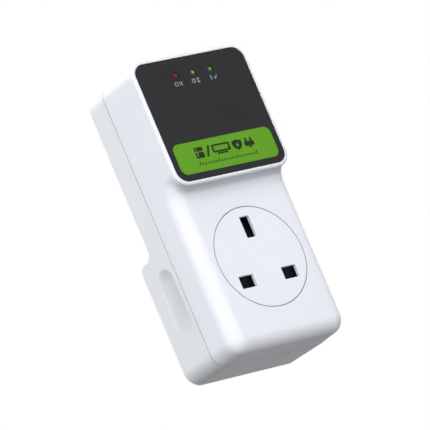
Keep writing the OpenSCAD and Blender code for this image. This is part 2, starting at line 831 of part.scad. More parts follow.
// A pin with bevelled tip, its head inside the case and its terminal stud
module pin(x, z, w, h, l, neck) {
    color(brass) {
        intersection() {
            along_y(base_in_y - over, l) translate([x, z]) square([w, h], center = true);
            translate([x, 0, z]) across_x(2 * w) tip_outline(h, l);
            translate([x, 0, z]) rotate([0, 90, 0]) across_x(2 * h) tip_outline(w, l);
            if (neck > 0)
                union() {
                    span([x - w, sleeve_l, z - h], [x + w, l + over, z + h]);
                    along_y(base_in_y - 2 * over, sleeve_l + over) translate([x, z])
                        square([w - 2 * neck, h - 2 * neck], center = true);
                }
        }
        along_y(head_in_y, base_in_y) translate([x, z])
            square([w + 2 * head_rim, h + 2 * head_rim], center = true);
        rod_y(x, z, stud_r, stud_end_y, head_in_y + over);
    }
}

module tip_outline(h, l) {
    polygon([[base_in_y - 2 * over, -h / 2], [l - tip_l, -h / 2], [l, tip_in - h / 2],
        [l, h / 2 - tip_in], [l - tip_l, h / 2], [base_in_y - 2 * over, h / 2]]);
}

module line_pin() { pin(pin_x, plug_live_z, live_w, live_h, live_l, sleeve_t); }
module neutral_pin() { pin(-pin_x, plug_live_z, live_w, live_h, live_l, sleeve_t); }
module earth_pin() { pin(0, plug_earth_z, earth_w, earth_h, earth_l, 0); }

module sleeve(x) {
    color(black) along_y(base_in_y, sleeve_l) translate([x, plug_live_z]) difference() {
        square([live_w, live_h], center = true);
        square([live_w - 2 * sleeve_t, live_h - 2 * sleeve_t], center = true);
    }
}

module line_sleeve() { sleeve(pin_x); }
module neutral_sleeve() { sleeve(-pin_x); }

// Moulded T-shaped plate that presses on the three pin heads
module pin_clamp() {
    half_x = pin_x + live_w / 2 + head_rim + clamp_lap;
    half_low = live_h / 2 + head_rim + clamp_lap;
    half_mid = earth_w / 2 + head_rim + clamp_lap;
    high = plug_earth_z + earth_h / 2 + head_rim + clamp_lap;
    color(black) difference() {
        along_y(clamp_y, head_in_y) {
            translate([-half_x, plug_live_z - half_low]) square([2 * half_x, 2 * half_low]);
            translate([-half_mid, plug_live_z]) square([2 * half_mid, high - plug_live_z]);
        }
        for (x = [-pin_x, pin_x]) rod_y(x, plug_live_z, stud_r + seat_gap, clamp_y - over, head_in_y + over);
        rod_y(0, plug_earth_z, stud_r + seat_gap, clamp_y - over, head_in_y + over);
        for (z = clamp_screws) rod_y(0, z, small_screw_r + screw_gap, clamp_y - over, head_in_y + over);
    }
}

// Strap from a pin's stud up to the level of a contact and forward to its back
module strap(x, z0, z1, y1) {
    side = z1 > z0 ? 1 : -1;
    color(brass) difference() {
        union() {
            rod_y(x, z0, lug_r, lug_y, clamp_y);
            span([x - strap_w / 2, lug_y, z0], [x + strap_w / 2, clamp_y, z1 + strip_t / 2]);
            span([x - strap_w / 2, y1, z1 - strip_t / 2], [x + strap_w / 2, clamp_y, z1 + strip_t / 2]);
        }
        rod_y(x, z0, stud_r + thread_gap, lug_y - over, clamp_y + over);
    }
}

module earth_strap() { strap(0, plug_earth_z, earth_z, earth_back_y); }
module neutral_strap() { strap(-pin_x, plug_live_z, live_z, live_back_y); }

// A wire of straight runs with round bends
module wire_run(points, r) {
    bead = 0.03;
    for (i = [0:len(points) - 2]) {
        run = points[i + 1] - points[i];
        l = norm(run);
        translate(points[i]) rotate([0, acos(run[2] / l), atan2(run[1], run[0])])
            cylinder(r = r, h = l, $fn = 24);
        if (i > 0) translate(points[i]) sphere(r = r + bead, $fn = 24);
    }
}

module line_wire() {
    color("saddlebrown") {
        difference() {
            rod_y(pin_x, plug_live_z, lug_r, lug_y, clamp_y);
            rod_y(pin_x, plug_live_z, stud_r + thread_gap, lug_y - over, clamp_y + over);
        }
        span([pin_x + stud_r + run_gap, lug_y, plug_live_z - wire_r],
            [line_wire_x, clamp_y, plug_live_z + wire_r]);
        wire_run([[line_wire_x, lug_y + strip_t / 2 - wire_r, plug_live_z - wire_r],
            [line_wire_x, lug_y - wire_r, live_z],
            [line_wire_x, wire_y, live_z + pin_x],
            [line_end_x, wire_y, wire_low_z], [line_end_x, board_back_y, wire_low_z]], wire_r);
    }
}

module load_wire() {
    color("firebrick") wire_run([[pin_x, live_back_y, live_z], [pin_x, wire_y, live_z],
        [load_wire_x, wire_y, live_z + pin_x], [load_wire_x, wire_y, wire_low_z],
        [load_wire_x, board_back_y, wire_low_z]], wire_r);
}

module neutral_wire() {
    start = live_z + strip_t / 2;
    color("royalblue") wire_run([[-pin_x, wire_y, start], [-pin_x, wire_y, start + pin_x],
        [neutral_wire_x, wire_y, start + 2 * pin_x], [neutral_wire_x, wire_y, wire_low_z],
        [neutral_wire_x, board_back_y, wire_low_z]], thin_wire_r);
}

module circuit_board() {
    color([0.08, 0.36, 0.2]) difference() {
        along_y(board_y, board_back_y)
            translate([-board_w / 2, board_low]) square([board_w, board_h]);
        for (x = [-screw_x, screw_x])
            rod_y(x, screw_high_z, tube_r + screw_gap, board_y - over, board_back_y + over);
        for (p = board_posts)
            rod_y(p[0], p[1], small_screw_r + screw_gap, board_y - over, board_back_y + over);
    }
}

// Places a piece on the board's front: its own Z becomes the height above the board
module on_board(x, z) {
    translate([x, board_y, z]) rotate([90, 0, 0]) children();
}

// Relay places: its middle on the board and the heights of its parts
relay_lift = 1.3;
relay_low_z = head_z + wall + relay_lift;
relay_w = board_w * relay_w_share;
relay_room = screw_high_z - tube_r - relay_low_z;
relay_l = relay_room * relay_l_share;
relay_h = (board_y - head_y - wall) * relay_h_share;
relay_x = board_w / 2 - relay_w / 2 - room;
relay_z = relay_low_z + relay_l / 2;
relay_base_t = 2.2;
yoke_t = 1.6;
yoke_w_share = 0.44;
yoke_w = relay_w * yoke_w_share;
yoke_gap = 2.6;
armature_t = 1.4;
armature_gap = 1.05;
blade_t = 0.3;
cover_gap = 0.4;
yoke_top = relay_h - relay_wall - cover_gap - blade_t - armature_t - armature_gap;
yoke_out = relay_l / 2 - relay_wall - yoke_gap;
coil_share = 0.227;
core_share = 0.406;
core_shift_share = -0.015;
core_y = relay_l * core_shift_share;
coil_r = relay_l * coil_share;
core_r = coil_r * core_share;
coil_gap = 1.4;
coil_low = relay_base_t + yoke_t;
coil_high = yoke_top - coil_gap;
armature_low = yoke_top + armature_gap;
blade_share = 0.125;
blade_half = relay_w * blade_share;
blade_gap = 1.9;
blade_tip = -relay_l / 2 + relay_wall + blade_gap;
contact_r = 1.5;
contact_y = blade_tip + contact_r + room;
post_t = 1;
hinge_gap = 0.06;
roll_in = 0.05;
roll_r = yoke_t / 2 - roll_in;

module relay_base() {
    half_x = relay_w / 2 - relay_wall - thread_gap;
    half_y = relay_l / 2 - relay_wall - thread_gap;
    color([0.12, 0.12, 0.13]) on_board(relay_x, relay_z)
        span([-half_x, -half_y, 0], [half_x, half_y, relay_base_t]);
}

module relay_cover() {
    half_x = relay_w / 2;
    half_y = relay_l / 2;
    color([0.13, 0.25, 0.55]) on_board(relay_x, relay_z) difference() {
        span([-half_x, -half_y, 0], [half_x, half_y, relay_h]);
        span([relay_wall - half_x, relay_wall - half_y, -over],
            [half_x - relay_wall, half_y - relay_wall, relay_h - relay_wall]);
    }
}

// The L-shaped iron with the coil's core; the upright's top carries the armature
module relay_yoke() {
    color(steel) on_board(relay_x, relay_z) {
        span([-yoke_w / 2, core_y - coil_r, relay_base_t], [yoke_w / 2, yoke_out, relay_base_t + yoke_t]);
        span([-yoke_w / 2, yoke_out - yoke_t, relay_base_t], [yoke_w / 2, yoke_out, yoke_top]);
        translate([0, yoke_out - yoke_t / 2, yoke_top]) rotate([0, 90, 0])
            cylinder(r = roll_r, h = yoke_w - 2 * roll_in, center = true, $fn = 48);
        translate([0, core_y, relay_base_t]) cylinder(r = core_r, h = yoke_top - relay_base_t, $fn = 48);
    }
}

module relay_coil() {
    flange = 0.8;
    color([0.62, 0.3, 0.16]) on_board(relay_x, relay_z) translate([0, core_y, 0]) difference() {
        union() {
            translate([0, 0, coil_low]) cylinder(r = coil_r - flange, h = coil_high - coil_low, $fn = 64);
            for (z = [coil_low, coil_high - flange])
                translate([0, 0, z]) cylinder(r = coil_r, h = flange, $fn = 64);
        }
        translate([0, 0, coil_low - over]) cylinder(r = core_r + thread_gap, h = yoke_top + over, $fn = 48);
    }
}

// Iron plate with a hollow that rolls on the yoke's rounded top
module relay_armature() {
    knuckle_r = roll_r + hinge_gap;
    knuckle_drop = 0.7;
    hinge_y = yoke_out - yoke_t / 2;
    color(steel) on_board(relay_x, relay_z) difference() {
        span([-yoke_w / 2, core_y - coil_r + room, armature_low - knuckle_drop],
            [yoke_w / 2, yoke_out + room, armature_low + armature_t]);
        span([-yoke_w, core_y - coil_r, armature_low - over], [yoke_w, hinge_y - 2 * knuckle_r, armature_low]);
        translate([0, hinge_y, yoke_top]) rotate([0, 90, 0])
            cylinder(r = knuckle_r, h = 2 * yoke_w, center = true, $fn = 48);
    }
}

module relay_blade() {
    top = armature_low + armature_t;
    color(brass) on_board(relay_x, relay_z) {
        span([-blade_half, blade_tip, top], [blade_half, core_y + coil_r / 2, top + blade_t]);
        translate([0, contact_y, armature_low]) cylinder(r = contact_r, h = armature_t + blade_t / 2, $fn = 48);
    }
}

module relay_fixed_contact() {
    drop = (yoke_out - yoke_t / 2 - contact_y) * tan(armature_swing);
    top = armature_low - drop - 2 * seat_gap;
    back = blade_tip - room;
    arm_top = top - post_t;
    color(brass) on_board(relay_x, relay_z) {
        span([-blade_half, back, relay_base_t], [blade_half, back + post_t, arm_top]);
        span([-blade_half, back, arm_top - post_t], [blade_half, contact_y + contact_r, arm_top]);
        translate([0, contact_y, arm_top - post_t / 2])
            cylinder(r = contact_r, h = post_t + post_t / 2, $fn = 48);
    }
}

// The column left of the relay
left_x = -board_w / 2;
left_low = post_low_z + small_head_r + room;
left_room = screw_high_z - tube_r - room - left_low;
relay_left = relay_x - relay_w / 2;
filter_r = board_w * filter_r_share;
small_cap_r = board_w * small_cap_r_share;
varistor_r = left_room * varistor_r_share;
varistor_t = board_w * varistor_t_share;
dropper_l = left_room * dropper_l_share;
dropper_w = board_w * dropper_w_share;
chip_l = board_h * chip_l_share;
chip_w = board_w * chip_w_share;
diode_r = left_room * diode_r_share;
diode_l = board_w * diode_l_share;
resistor_r = relay_room * resistor_r_share;
resistor_l = board_w * resistor_l_share;
lead_r = 0.3;
lead_out = 1.1;

varistor_z = left_low + dropper_l + room + varistor_r;
module varistor() {
    lead = 0.4;
    lift = 1.6;
    color([0.1, 0.25, 0.5]) on_board(left_x + dropper_w / 2 + room, varistor_z) {
        translate([0, 0, lift + varistor_r]) rotate([0, 90, 0])
            cylinder(r = varistor_r, h = varistor_t, center = true, $fn = 64);
        for (side = [-1, 1]) translate([0, side * varistor_r / 2, 0])
            cylinder(r = lead, h = lift + varistor_r / 2, $fn = 24);
    }
}

module dropper_capacitor() {
    h = low_depth * dropper_h_share;
    color([0.85, 0.7, 0.2])
        on_board(left_x + dropper_w / 2 + room, left_low + dropper_l / 2)
            translate([0, 0, h / 2]) cube([dropper_w, dropper_l, h], center = true);
}

// A can with a crimped waist near its base
module can(r, h) {
    groove = 0.5;
    difference() {
        cylinder(r = r, h = h, $fn = 64);
        translate([0, 0, 2 * groove]) rotate_extrude($fn = 64)
            translate([r, groove]) circle(r = groove, $fn = 24);
    }
}

filter_x = relay_left - filter_r - room;
filter_share = 0.207;
filter_z = board_low + board_h * filter_share;
small_cap_z = filter_z + filter_r + small_cap_r + room;
module filter_capacitor() {
    color([0.12, 0.14, 0.3]) on_board(filter_x, filter_z) can(filter_r, low_depth * filter_h_share);
}

module small_capacitor() {
    color([0.12, 0.14, 0.3]) on_board(filter_x, small_cap_z) can(small_cap_r, low_depth * small_cap_h_share);
}

module controller_chip() {
    legs = 7;
    pitch_share = 0.1316;
    leg_pitch = chip_l * pitch_share;
    leg_w = 0.5;
    body_t = 3.2;
    lift = 0.5;
    color([0.07, 0.07, 0.08]) on_board(filter_x, small_cap_z + small_cap_r + room + chip_l / 2) {
        span([-chip_w / 2, -chip_l / 2, lift], [chip_w / 2, chip_l / 2, lift + body_t]);
        for (side = [0, 1], i = [0:legs - 1]) {
            y = (i - (legs - 1) / 2) * leg_pitch;
            x = chip_w / 2;
            mirror([side, 0, 0]) {
                span([x - leg_w, y - leg_w / 2, lift + body_t / 2],
                    [x + leg_w, y + leg_w / 2, lift + body_t / 2 + leg_w]);
                span([x + leg_w / 2, y - leg_w / 2, 0],
                    [x + leg_w, y + leg_w / 2, lift + body_t / 2 + leg_w / 2]);
            }
        }
    }
}

module transistor() {
    r_share = 0.045;
    r = board_w * r_share;
    lift = 2;
    h = 2 * r;
    lead = 0.25;
    color([0.08, 0.08, 0.09]) on_board(relay_left + 2 * r, relay_z + relay_l / 2 + r + room) {
        translate([0, 0, lift]) difference() {
            cylinder(r = r, h = h, $fn = 48);
            span([-r, r / 2, -over], [r, r + over, h + over]);
        }
        for (i = [-1:1]) translate([i * r / 2, 0, 0]) cylinder(r = lead, h = lift + over, $fn = 24);
    }
}

// An axial part lying across the board, with its two bent leads
module axial(r, l) {
    reach = l / 2 + lead_out;
    translate([0, 0, r + lead_r]) rotate([0, 90, 0]) {
        cylinder(r = r, h = l, center = true, $fn = 32);
        cylinder(r = lead_r, h = 2 * reach, center = true, $fn = 24);
    }
    for (side = [-1, 1]) translate([side * reach, 0, 0]) {
        cylinder(r = lead_r, h = r + lead_r, $fn = 24);
        translate([0, 0, r + lead_r]) sphere(r = lead_r, $fn = 24);
    }
}

diode_z = varistor_z + varistor_r + room + diode_r;
module diodes() {
    x = left_x + diode_l / 2 + 2 * lead_out;
    color([0.1, 0.1, 0.11]) for (i = [0:2])
        on_board(x, diode_z + i * (2 * diode_r + room / 2)) axial(diode_r, diode_l);
}

module resistors() {
    x = board_w / 2 - resistor_l / 2 - 2 * lead_out;
    z = relay_z + relay_l / 2 + resistor_r + room;
    color([0.75, 0.62, 0.42]) for (i = [0:1], k = [0:1])
        on_board(x - k * (resistor_l + 2 * lead_out + 4 * lead_r), z + i * (2 * resistor_r + room / 2))
            axial(resistor_r, resistor_l);
}

// A screw along Y: its head's seat at y, its point towards the front
module screw(x, z, y, r, l, head_r, head_t) {
    arm_share = 0.4;
    recess = head_r / 2;
    slot_d = head_t / 2;
    point = 2 * r;
    color(steel) {
        difference() {
            rod_y(x, z, head_r, y, y + head_t);
            for (a = [0, 90])
                translate([x, y + head_t, z]) rotate([0, a, 0])
                    cube([2 * recess, 2 * slot_d, recess * arm_share], center = true);
        }
        rod_y(x, z, r, y - l + point, y + head_t / 4);
        translate([x, y - l + point, z]) rotate([90, 0, 0]) cylinder(r1 = r, r2 = r / 4, h = point, $fn = 48);
    }
}

module case_screws() {
    for (x = [-screw_x, screw_x], z = screw_heights)
        screw(x, z, screw_seat_y, screw_r, screw_l, screw_head_r, screw_head_t);
}

// A small screw whose head faces forward
module front_screw(x, z, y) {
    translate([x, y, z]) rotate([0, 0, 180])
        screw(0, 0, 0, small_screw_r, small_screw_l, small_head_r, small_head_t);
}

module board_screws() {
    for (p = board_posts) front_screw(p[0], p[1], board_y);
}

module clamp_screws() {
    for (z = clamp_screws) front_screw(0, z, clamp_y);
}

module carrier_screws() {
    for (x = [-ear_x, ear_x])
        screw(x, ear_z, plate_back_y, small_screw_r, small_screw_l, small_head_r, small_head_t);
}

front_shell();
rear_shell();
socket_face();
shutter();
shutter_spring();
overlay_panel();
rating_band();
red_lamp();
amber_lamp();
green_lamp();
contact_carrier();
line_contact();
neutral_contact();
earth_contact();
line_pin();
neutral_pin();
earth_pin();
line_sleeve();
neutral_sleeve();
pin_clamp();
earth_strap();
neutral_strap();
line_wire();
load_wire();
neutral_wire();
circuit_board();
relay_base();
relay_cover();
relay_yoke();
relay_coil();
relay_armature();
relay_blade();
relay_fixed_contact();
varistor();
dropper_capacitor();
filter_capacitor();
small_capacitor();
controller_chip();
transistor();
diodes();
resistors();
case_screws();
board_screws();
clamp_screws();
carrier_screws();
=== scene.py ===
# %% [markdown]
# # A plug-in voltage protector, dressed in Blender
# The object is a British mains adaptor: three pins behind, a shuttered socket in front, and a
# raised head with a dark panel and three lamps. Its CAD frame gives every place and motion. Here
# the seen pieces get finer surfaces, and every node gets the finish of what it is made of.
# We work in millimetres and scale to Blender's metres at the very end of each mesh.

# %% Load the CAD frame
import json
import math

import bmesh
import bpy
import numpy as np
from mathutils import Matrix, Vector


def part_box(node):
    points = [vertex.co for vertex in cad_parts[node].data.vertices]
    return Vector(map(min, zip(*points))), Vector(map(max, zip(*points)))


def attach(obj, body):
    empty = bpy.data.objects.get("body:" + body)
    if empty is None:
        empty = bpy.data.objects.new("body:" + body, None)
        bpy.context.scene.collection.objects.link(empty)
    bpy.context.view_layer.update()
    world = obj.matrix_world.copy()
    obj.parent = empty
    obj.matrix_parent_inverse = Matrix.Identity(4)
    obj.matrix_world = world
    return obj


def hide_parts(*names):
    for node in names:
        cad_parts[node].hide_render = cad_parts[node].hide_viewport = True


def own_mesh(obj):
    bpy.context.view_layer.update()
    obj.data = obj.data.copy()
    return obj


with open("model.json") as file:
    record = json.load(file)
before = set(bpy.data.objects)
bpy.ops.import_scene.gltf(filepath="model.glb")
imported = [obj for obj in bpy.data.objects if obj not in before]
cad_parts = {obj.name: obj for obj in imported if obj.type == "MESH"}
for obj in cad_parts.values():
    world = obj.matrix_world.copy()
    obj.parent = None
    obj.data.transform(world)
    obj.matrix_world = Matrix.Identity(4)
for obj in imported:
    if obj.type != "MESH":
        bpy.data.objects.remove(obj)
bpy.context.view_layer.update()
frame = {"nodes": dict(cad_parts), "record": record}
MM = 0.001

# %% [markdown]
# ## The camera
# The photo's view was solved from the socket's aperture spacing: three turns, the distance to a
# target point and the focal length in pixels of the 430-pixel picture. The camera stands low on
# the left, looks up and leans, so the case's left side and underside show.

# %% Camera
YAW, PITCH, ROLL = 0.6895734, -0.2261434, 0.4003468
TARGET = np.array([0.0, -23.2, 15.0])
OFFSET = np.array([8.2175, 2182.8732, -17.1957])
FOCAL_PX, PHOTO_PX, SENSOR = 5423.1518, 430, 36.0


def camera_axes(yaw, pitch, roll):
    """Rows are the camera's right, forward and up: a turn about Z, then about X, then about Y."""
    cy, sy = math.cos(yaw), math.sin(yaw)
    cp, sp = math.cos(pitch), math.sin(pitch)
    cr, sr = math.cos(roll), math.sin(roll)
    about_z = np.array([[cy, -sy, 0], [sy, cy, 0], [0, 0, 1]])
    about_x = np.array([[1, 0, 0], [0, cp, -sp], [0, sp, cp]])
    about_y = np.array([[cr, 0, -sr], [0, 1, 0], [sr, 0, cr]])
    return about_y @ about_x @ about_z


axes = camera_axes(YAW, PITCH, ROLL)
camera = bpy.data.objects.new("camera", bpy.data.cameras.new("camera"))
bpy.context.scene.collection.objects.link(camera)
stand = np.eye(4)
stand[:3, :3] = np.stack([axes[0], axes[2], -axes[1]], axis=1)
stand[:3, 3] = (TARGET - axes.T @ OFFSET) * MM
camera.matrix_world = Matrix(stand.tolist())
camera.data.sensor_width = SENSOR
camera.data.lens = SENSOR * FOCAL_PX / PHOTO_PX
camera.data.clip_end = 20
bpy.context.scene.camera = camera
print("camera at", stand[:3, 3].round(3), "lens", round(camera.data.lens, 1))

# %% [markdown]
# ## The case's form in numbers
# Both shells are one rounded block that narrows from the parting line to the front and to the
# back, so that it leaves its mould. We build every surface in an upright, undrafted block, where
# sides are true planes and corners true circles, and squeeze the finished mesh by its depth.
# That keeps each surface simple and the draft exact.

# %% Places and draft
BACK_Y, PARTING_Y, FRONT_Y, HEAD_Y = -9.6, -21.5, -38.2, -44.1
HALF_W, HALF_H, MID_Z = 30.1, 62.95, 35.05
CORNER, EDGE, WALL = 6.8, 6.6, 2.2
CORE_X, CORE_LOW, CORE_HIGH, HEAD_CORE = 23.3, -21.1, 91.2, 49.3
DRAFT_FRONT, DRAFT_REAR = math.tan(math.radians(0.8)), math.tan(math.radians(1.9))
ARC = 16
PHI = np.linspace(0, math.pi / 2, ARC + 1)


def squeeze(y):
    """The factors that x, and z about the middle, shrink by: 1 - distance x slope / half size."""
    inward = np.where(y < PARTING_Y, (PARTING_Y - y) * DRAFT_FRONT, (y - PARTING_Y) * DRAFT_REAR)
    return 1 - inward / HALF_W, 1 - inward / HALF_H


def drafted(points):
    """Moves x and z towards the case's middle by the draft at each point's depth."""
    out = np.array(points, float)
    fx, fz = squeeze(out[..., 1])
    out[..., 0] *= fx
    out[..., 2] = MID_Z + (out[..., 2] - MID_Z) * fz
    return out


def undrafted(points):
    """The inverse, for holes and posts that have to come out true and on their places."""
    out = np.array(points, float)
    fx, fz = squeeze(out[..., 1])
    out[..., 0] /= fx
    out[..., 2] = MID_Z + (out[..., 2] - MID_Z) / fz
    return out


print("half width at the head's front", round(HALF_W * float(squeeze(HEAD_Y)[0]), 3))

# %% [markdown]
# ## From grids to one closed mesh
# A moulding is a set of surfaces that share their edges: flats, rounded edges, hollows and bores.
# Each curved one is a grid of points. Flats with holes in them are awkward as grids, so they are
# left open, and Blender fills the open edges that lie in their plane after the grids are welded.

# %% Skins
class Skin:
    """Grids of points, in millimetres, and the planes of the flats between them."""

    def __init__(self):
        self.points, self.quads, self.planes, self.total = [], [], [], 0

    def grid(self, rows, ring=False):
        """Quads between neighbouring points of a rows x columns x 3 array; a ring closes rows."""
        rows = np.asarray(rows, float)
        index = np.arange(rows.shape[0] * rows.shape[1]).reshape(rows.shape[:2]) + self.total
        if ring:
            index = np.concatenate([index, index[:, :1]], axis=1)
        quads = np.stack([index[:-1, :-1], index[:-1, 1:], index[1:, 1:], index[1:, :-1]], axis=-1)
        self.points.append(rows.reshape(-1, 3))
        self.quads.append(quads.reshape(-1, 4))
        self.total += rows.shape[0] * rows.shape[1]

    def flat(self, axis, *places):
        """Planes across an axis, whose open edges will be filled."""
        self.planes += [(axis, place) for place in places]


SAME, SLIVER, ON_PLANE = 2e-4, 1e-5, 1e-4  # mm: points merge, edges go, points lie on a plane


def weld(skin, name, draft=False, crease=38):
    """Merges shared points, fills the flats, turns faces outward and keeps the creases sharp."""
    mesh = bpy.data.meshes.new(name)
    mesh.from_pydata(np.concatenate(skin.points).tolist(), [], np.concatenate(skin.quads).tolist())
    shape = bmesh.new()
    shape.from_mesh(mesh)
    bmesh.ops.remove_doubles(shape, verts=shape.verts, dist=SAME)
    bmesh.ops.dissolve_degenerate(shape, edges=shape.edges, dist=SLIVER)
    for axis, place in skin.planes:
        rim = [e for e in shape.edges if e.is_boundary
               and all(abs(v.co[axis] - place) < ON_PLANE for v in e.verts)]
        bmesh.ops.triangle_fill(shape, use_beauty=True, edges=rim, normal=np.eye(3)[axis].tolist())
    bmesh.ops.recalc_face_normals(shape, faces=shape.faces)
    loose = sum(1 for e in shape.edges if not e.is_manifold)
    shape.to_mesh(mesh)
    shape.free()
    points = np.empty(len(mesh.vertices) * 3)
    mesh.vertices.foreach_get("co", points)
    points = points.reshape(-1, 3)
    points = drafted(points) if draft else points
    mesh.vertices.foreach_set("co", (points * MM).ravel())
    mesh.shade_smooth()
    mesh.set_sharp_from_angle(angle=math.radians(crease))
    mesh.update()
    piece = bpy.data.objects.new(name, mesh)
    bpy.context.scene.collection.objects.link(piece)
    clean = piece.modifiers.new("flats stay flat", "WEIGHTED_NORMAL")
    clean.mode, clean.keep_sharp = "FACE_AREA", True
    print(name, len(mesh.polygons), "faces,", loose, "open or doubled edges")
    return piece


# %% [markdown]
# ## Outlines, bores and rounded edges
# Seen from the front, every outline of the case is four core points with a radius round each, so
# an outline at any inset is the core plus its normal times a shorter radius. Round holes, bosses
# and pockets are all one thing: circles whose radius changes with depth.

# %% Outline and bore helpers
def corner(x, z, quarter):
    """A core point repeated, with the normals of one quarter turn: columns x, z, nx, nz."""
    turn = quarter * math.pi / 2 + PHI
    still = np.ones(ARC + 1)
    return np.column_stack([still * x, still * z, np.cos(turn), np.sin(turn)])


def around(outline, radius, y):
    """Points core + normal x radius, at one depth or at one depth a point."""
    x = outline[:, 0] + outline[:, 2] * radius
    z = outline[:, 1] + outline[:, 3] * radius
    return np.column_stack([x, np.broadcast_to(y, x.shape), z])


def low_corners(z):
    """The outline's two lower corners, from -x to +x."""
    return np.vstack([corner(-CORE_X, z, 2), corner(CORE_X, z, 3)])


def high_corners(z):
    """The outline's two upper corners, from +x back to -x."""
    return np.vstack([corner(CORE_X, z, 0), corner(-CORE_X, z, 1)])


CASE_OUTLINE = np.vstack([low_corners(CORE_LOW), high_corners(CORE_HIGH)])
HEAD_OUTLINE = np.vstack([low_corners(HEAD_CORE), high_corners(CORE_HIGH)])


def round_edge(size, steps=4):
    """A quarter-round edge as pairs (inset, depth): size(1 - sin a) and size(1 - cos a)."""
    a = np.linspace(0, math.pi / 2, steps + 1)
    return np.column_stack([size * (1 - np.sin(a)), size * (1 - np.cos(a))])


def bore(skin, x, z, profile, draft=True, count=48):
    """Circles of the profile's radii at its depths, joined into one surface of revolution."""
    turn = np.linspace(0, 2 * math.pi, count, endpoint=False)
    r, y = np.array(profile, float).T[:, :, None]
    rows = np.stack([x + r * np.cos(turn), y + 0 * turn, z + r * np.sin(turn)], axis=-1)
    skin.grid(undrafted(rows) if draft else rows, ring=True)


POST_FLOOR = 0.8  # a post's blind hole ends this far above its root


def post(skin, x, z, radius, bore_r, root_y, end_y):
    """A screw post: a closed sleeve with a blind bore, its root sunk in the wall."""
    floor_y = root_y + math.copysign(POST_FLOOR, end_y - root_y)
    bore(skin, x, z, [(0, root_y), (radius, root_y), (radius, end_y), (bore_r, end_y),
                      (bore_r, floor_y), (0, floor_y)], count=32)


def round_rect(low, high, r, steps=6):
    """A rectangle with round corners as points x, z, going round once."""
    turn = np.linspace(0, math.pi / 2, steps + 1)
    cores = [(high[0] - r, high[1] - r), (low[0] + r, high[1] - r),
             (low[0] + r, low[1] + r), (high[0] - r, low[1] + r)]
    return np.vstack([np.column_stack([x + r * np.cos(turn + k * math.pi / 2),
                                       z + r * np.sin(turn + k * math.pi / 2)])
                      for k, (x, z) in enumerate(cores)])


def window(x, z, w, h, r, grow=0.0, steps=4):
    """An opening's outline from its middle, width and height, grown on every side."""
    return round_rect((x - w / 2 - grow, z - h / 2 - grow), (x + w / 2 + grow, z + h / 2 + grow),
                      r, steps)


def at_depth(loop, y):
    """Puts an x, z outline at depth y."""
    return np.column_stack([loop[:, 0], np.full(len(loop), y), loop[:, 1]])


print("case outline", len(CASE_OUTLINE), "points")

# %% [markdown]
# ## The front shell
# Injection-moulded white plastic. Its lower front rolls into the sides on a large radius, and the
# head stands out of it with a hollow blend under its chin. That blend is the hard part: a fillet
# that follows the head's rounded corners and dips with the rolled edges. We write it as a
# surface over x: at each x, the distance down from the chin and the rise to the front follow a
# quarter ellipse. The same function with an inset makes the inner skin, so the wall is even.

# %% One skin of the front shell
HOLLOW, HOLLOW_DOWN, RIM, BLEND_FOOT, FOOT_ROLL = 4.8, 6.3, 1.0, 31.0, 5.6


def front_skin(skin, inset, hollow, rim, back_y):
    """Rolled lower edge, chin blend and walls, all moved in by the inset.

    The roll of radius a lies a - sqrt(a^2 - (a - d)^2) behind the front at the distance d from
    the side. It is a little tighter at the foot, where the outline's normal points down, and goes
    from one to the other with the normal's z squared. The blend below the head is a quarter
    ellipse, longer than it is deep.
    """
    radius, edge, half = CORNER - inset, EDGE - inset, HALF_W - inset
    front, head = FRONT_Y + inset, HEAD_Y + inset

    def drop(d, size=edge):
        return size - np.sqrt(size ** 2 - np.clip(size - d, 0, size) ** 2)

    def foot(outline):
        return edge + np.minimum(outline[:, 3], 0) ** 2 * (FOOT_ROLL - EDGE)

    lower = np.vstack([[[-CORE_X, BLEND_FOOT, -1, 0]], low_corners(CORE_LOW),
                       [[CORE_X, BLEND_FOOT, 1, 0]]])
    skin.grid([around(lower, radius - d, front + drop(d, foot(lower)))
               for d in radius * (1 - np.sin(PHI))])

    x = CORE_X + radius * np.sin(PHI)
    x = np.concatenate([-x[::-1], x])
    past = np.maximum(np.abs(x) - CORE_X, 0)
    beta = PHI[:, None]
    down, rise = (HOLLOW_DOWN + inset) * (1 - np.sin(beta)), hollow * (1 - np.cos(beta))
    z = HEAD_CORE - np.sqrt(np.maximum((radius + down) ** 2 - past ** 2, 0))
    y = front + drop(half - np.abs(x)) - rise
    share = np.linspace(0, 1, 5)[:-1, None]
    z = np.vstack([BLEND_FOOT + (z[0] - BLEND_FOOT) * share, z])
    y = np.vstack([y[0] + 0 * share, y])
    blend = np.stack([np.broadcast_to(x, z.shape), y, z], axis=-1)
    chin = blend[-1].copy()
    chin[:, 1] = head + rim
    skin.grid(blend)
    skin.grid([blend[-1], chin])

    low, high = low_corners(CORE_LOW), high_corners(CORE_HIGH)
    skin.grid([around(low, radius, front + foot(low)), around(low, radius, back_y)])
    skin.grid([around(high, radius, head + rim), around(high, radius, back_y)])
    skin.flat(0, -half, half)
    skin.flat(1, front)


print("hollow below the head", HOLLOW_DOWN, "mm tall and", HOLLOW, "mm deep")
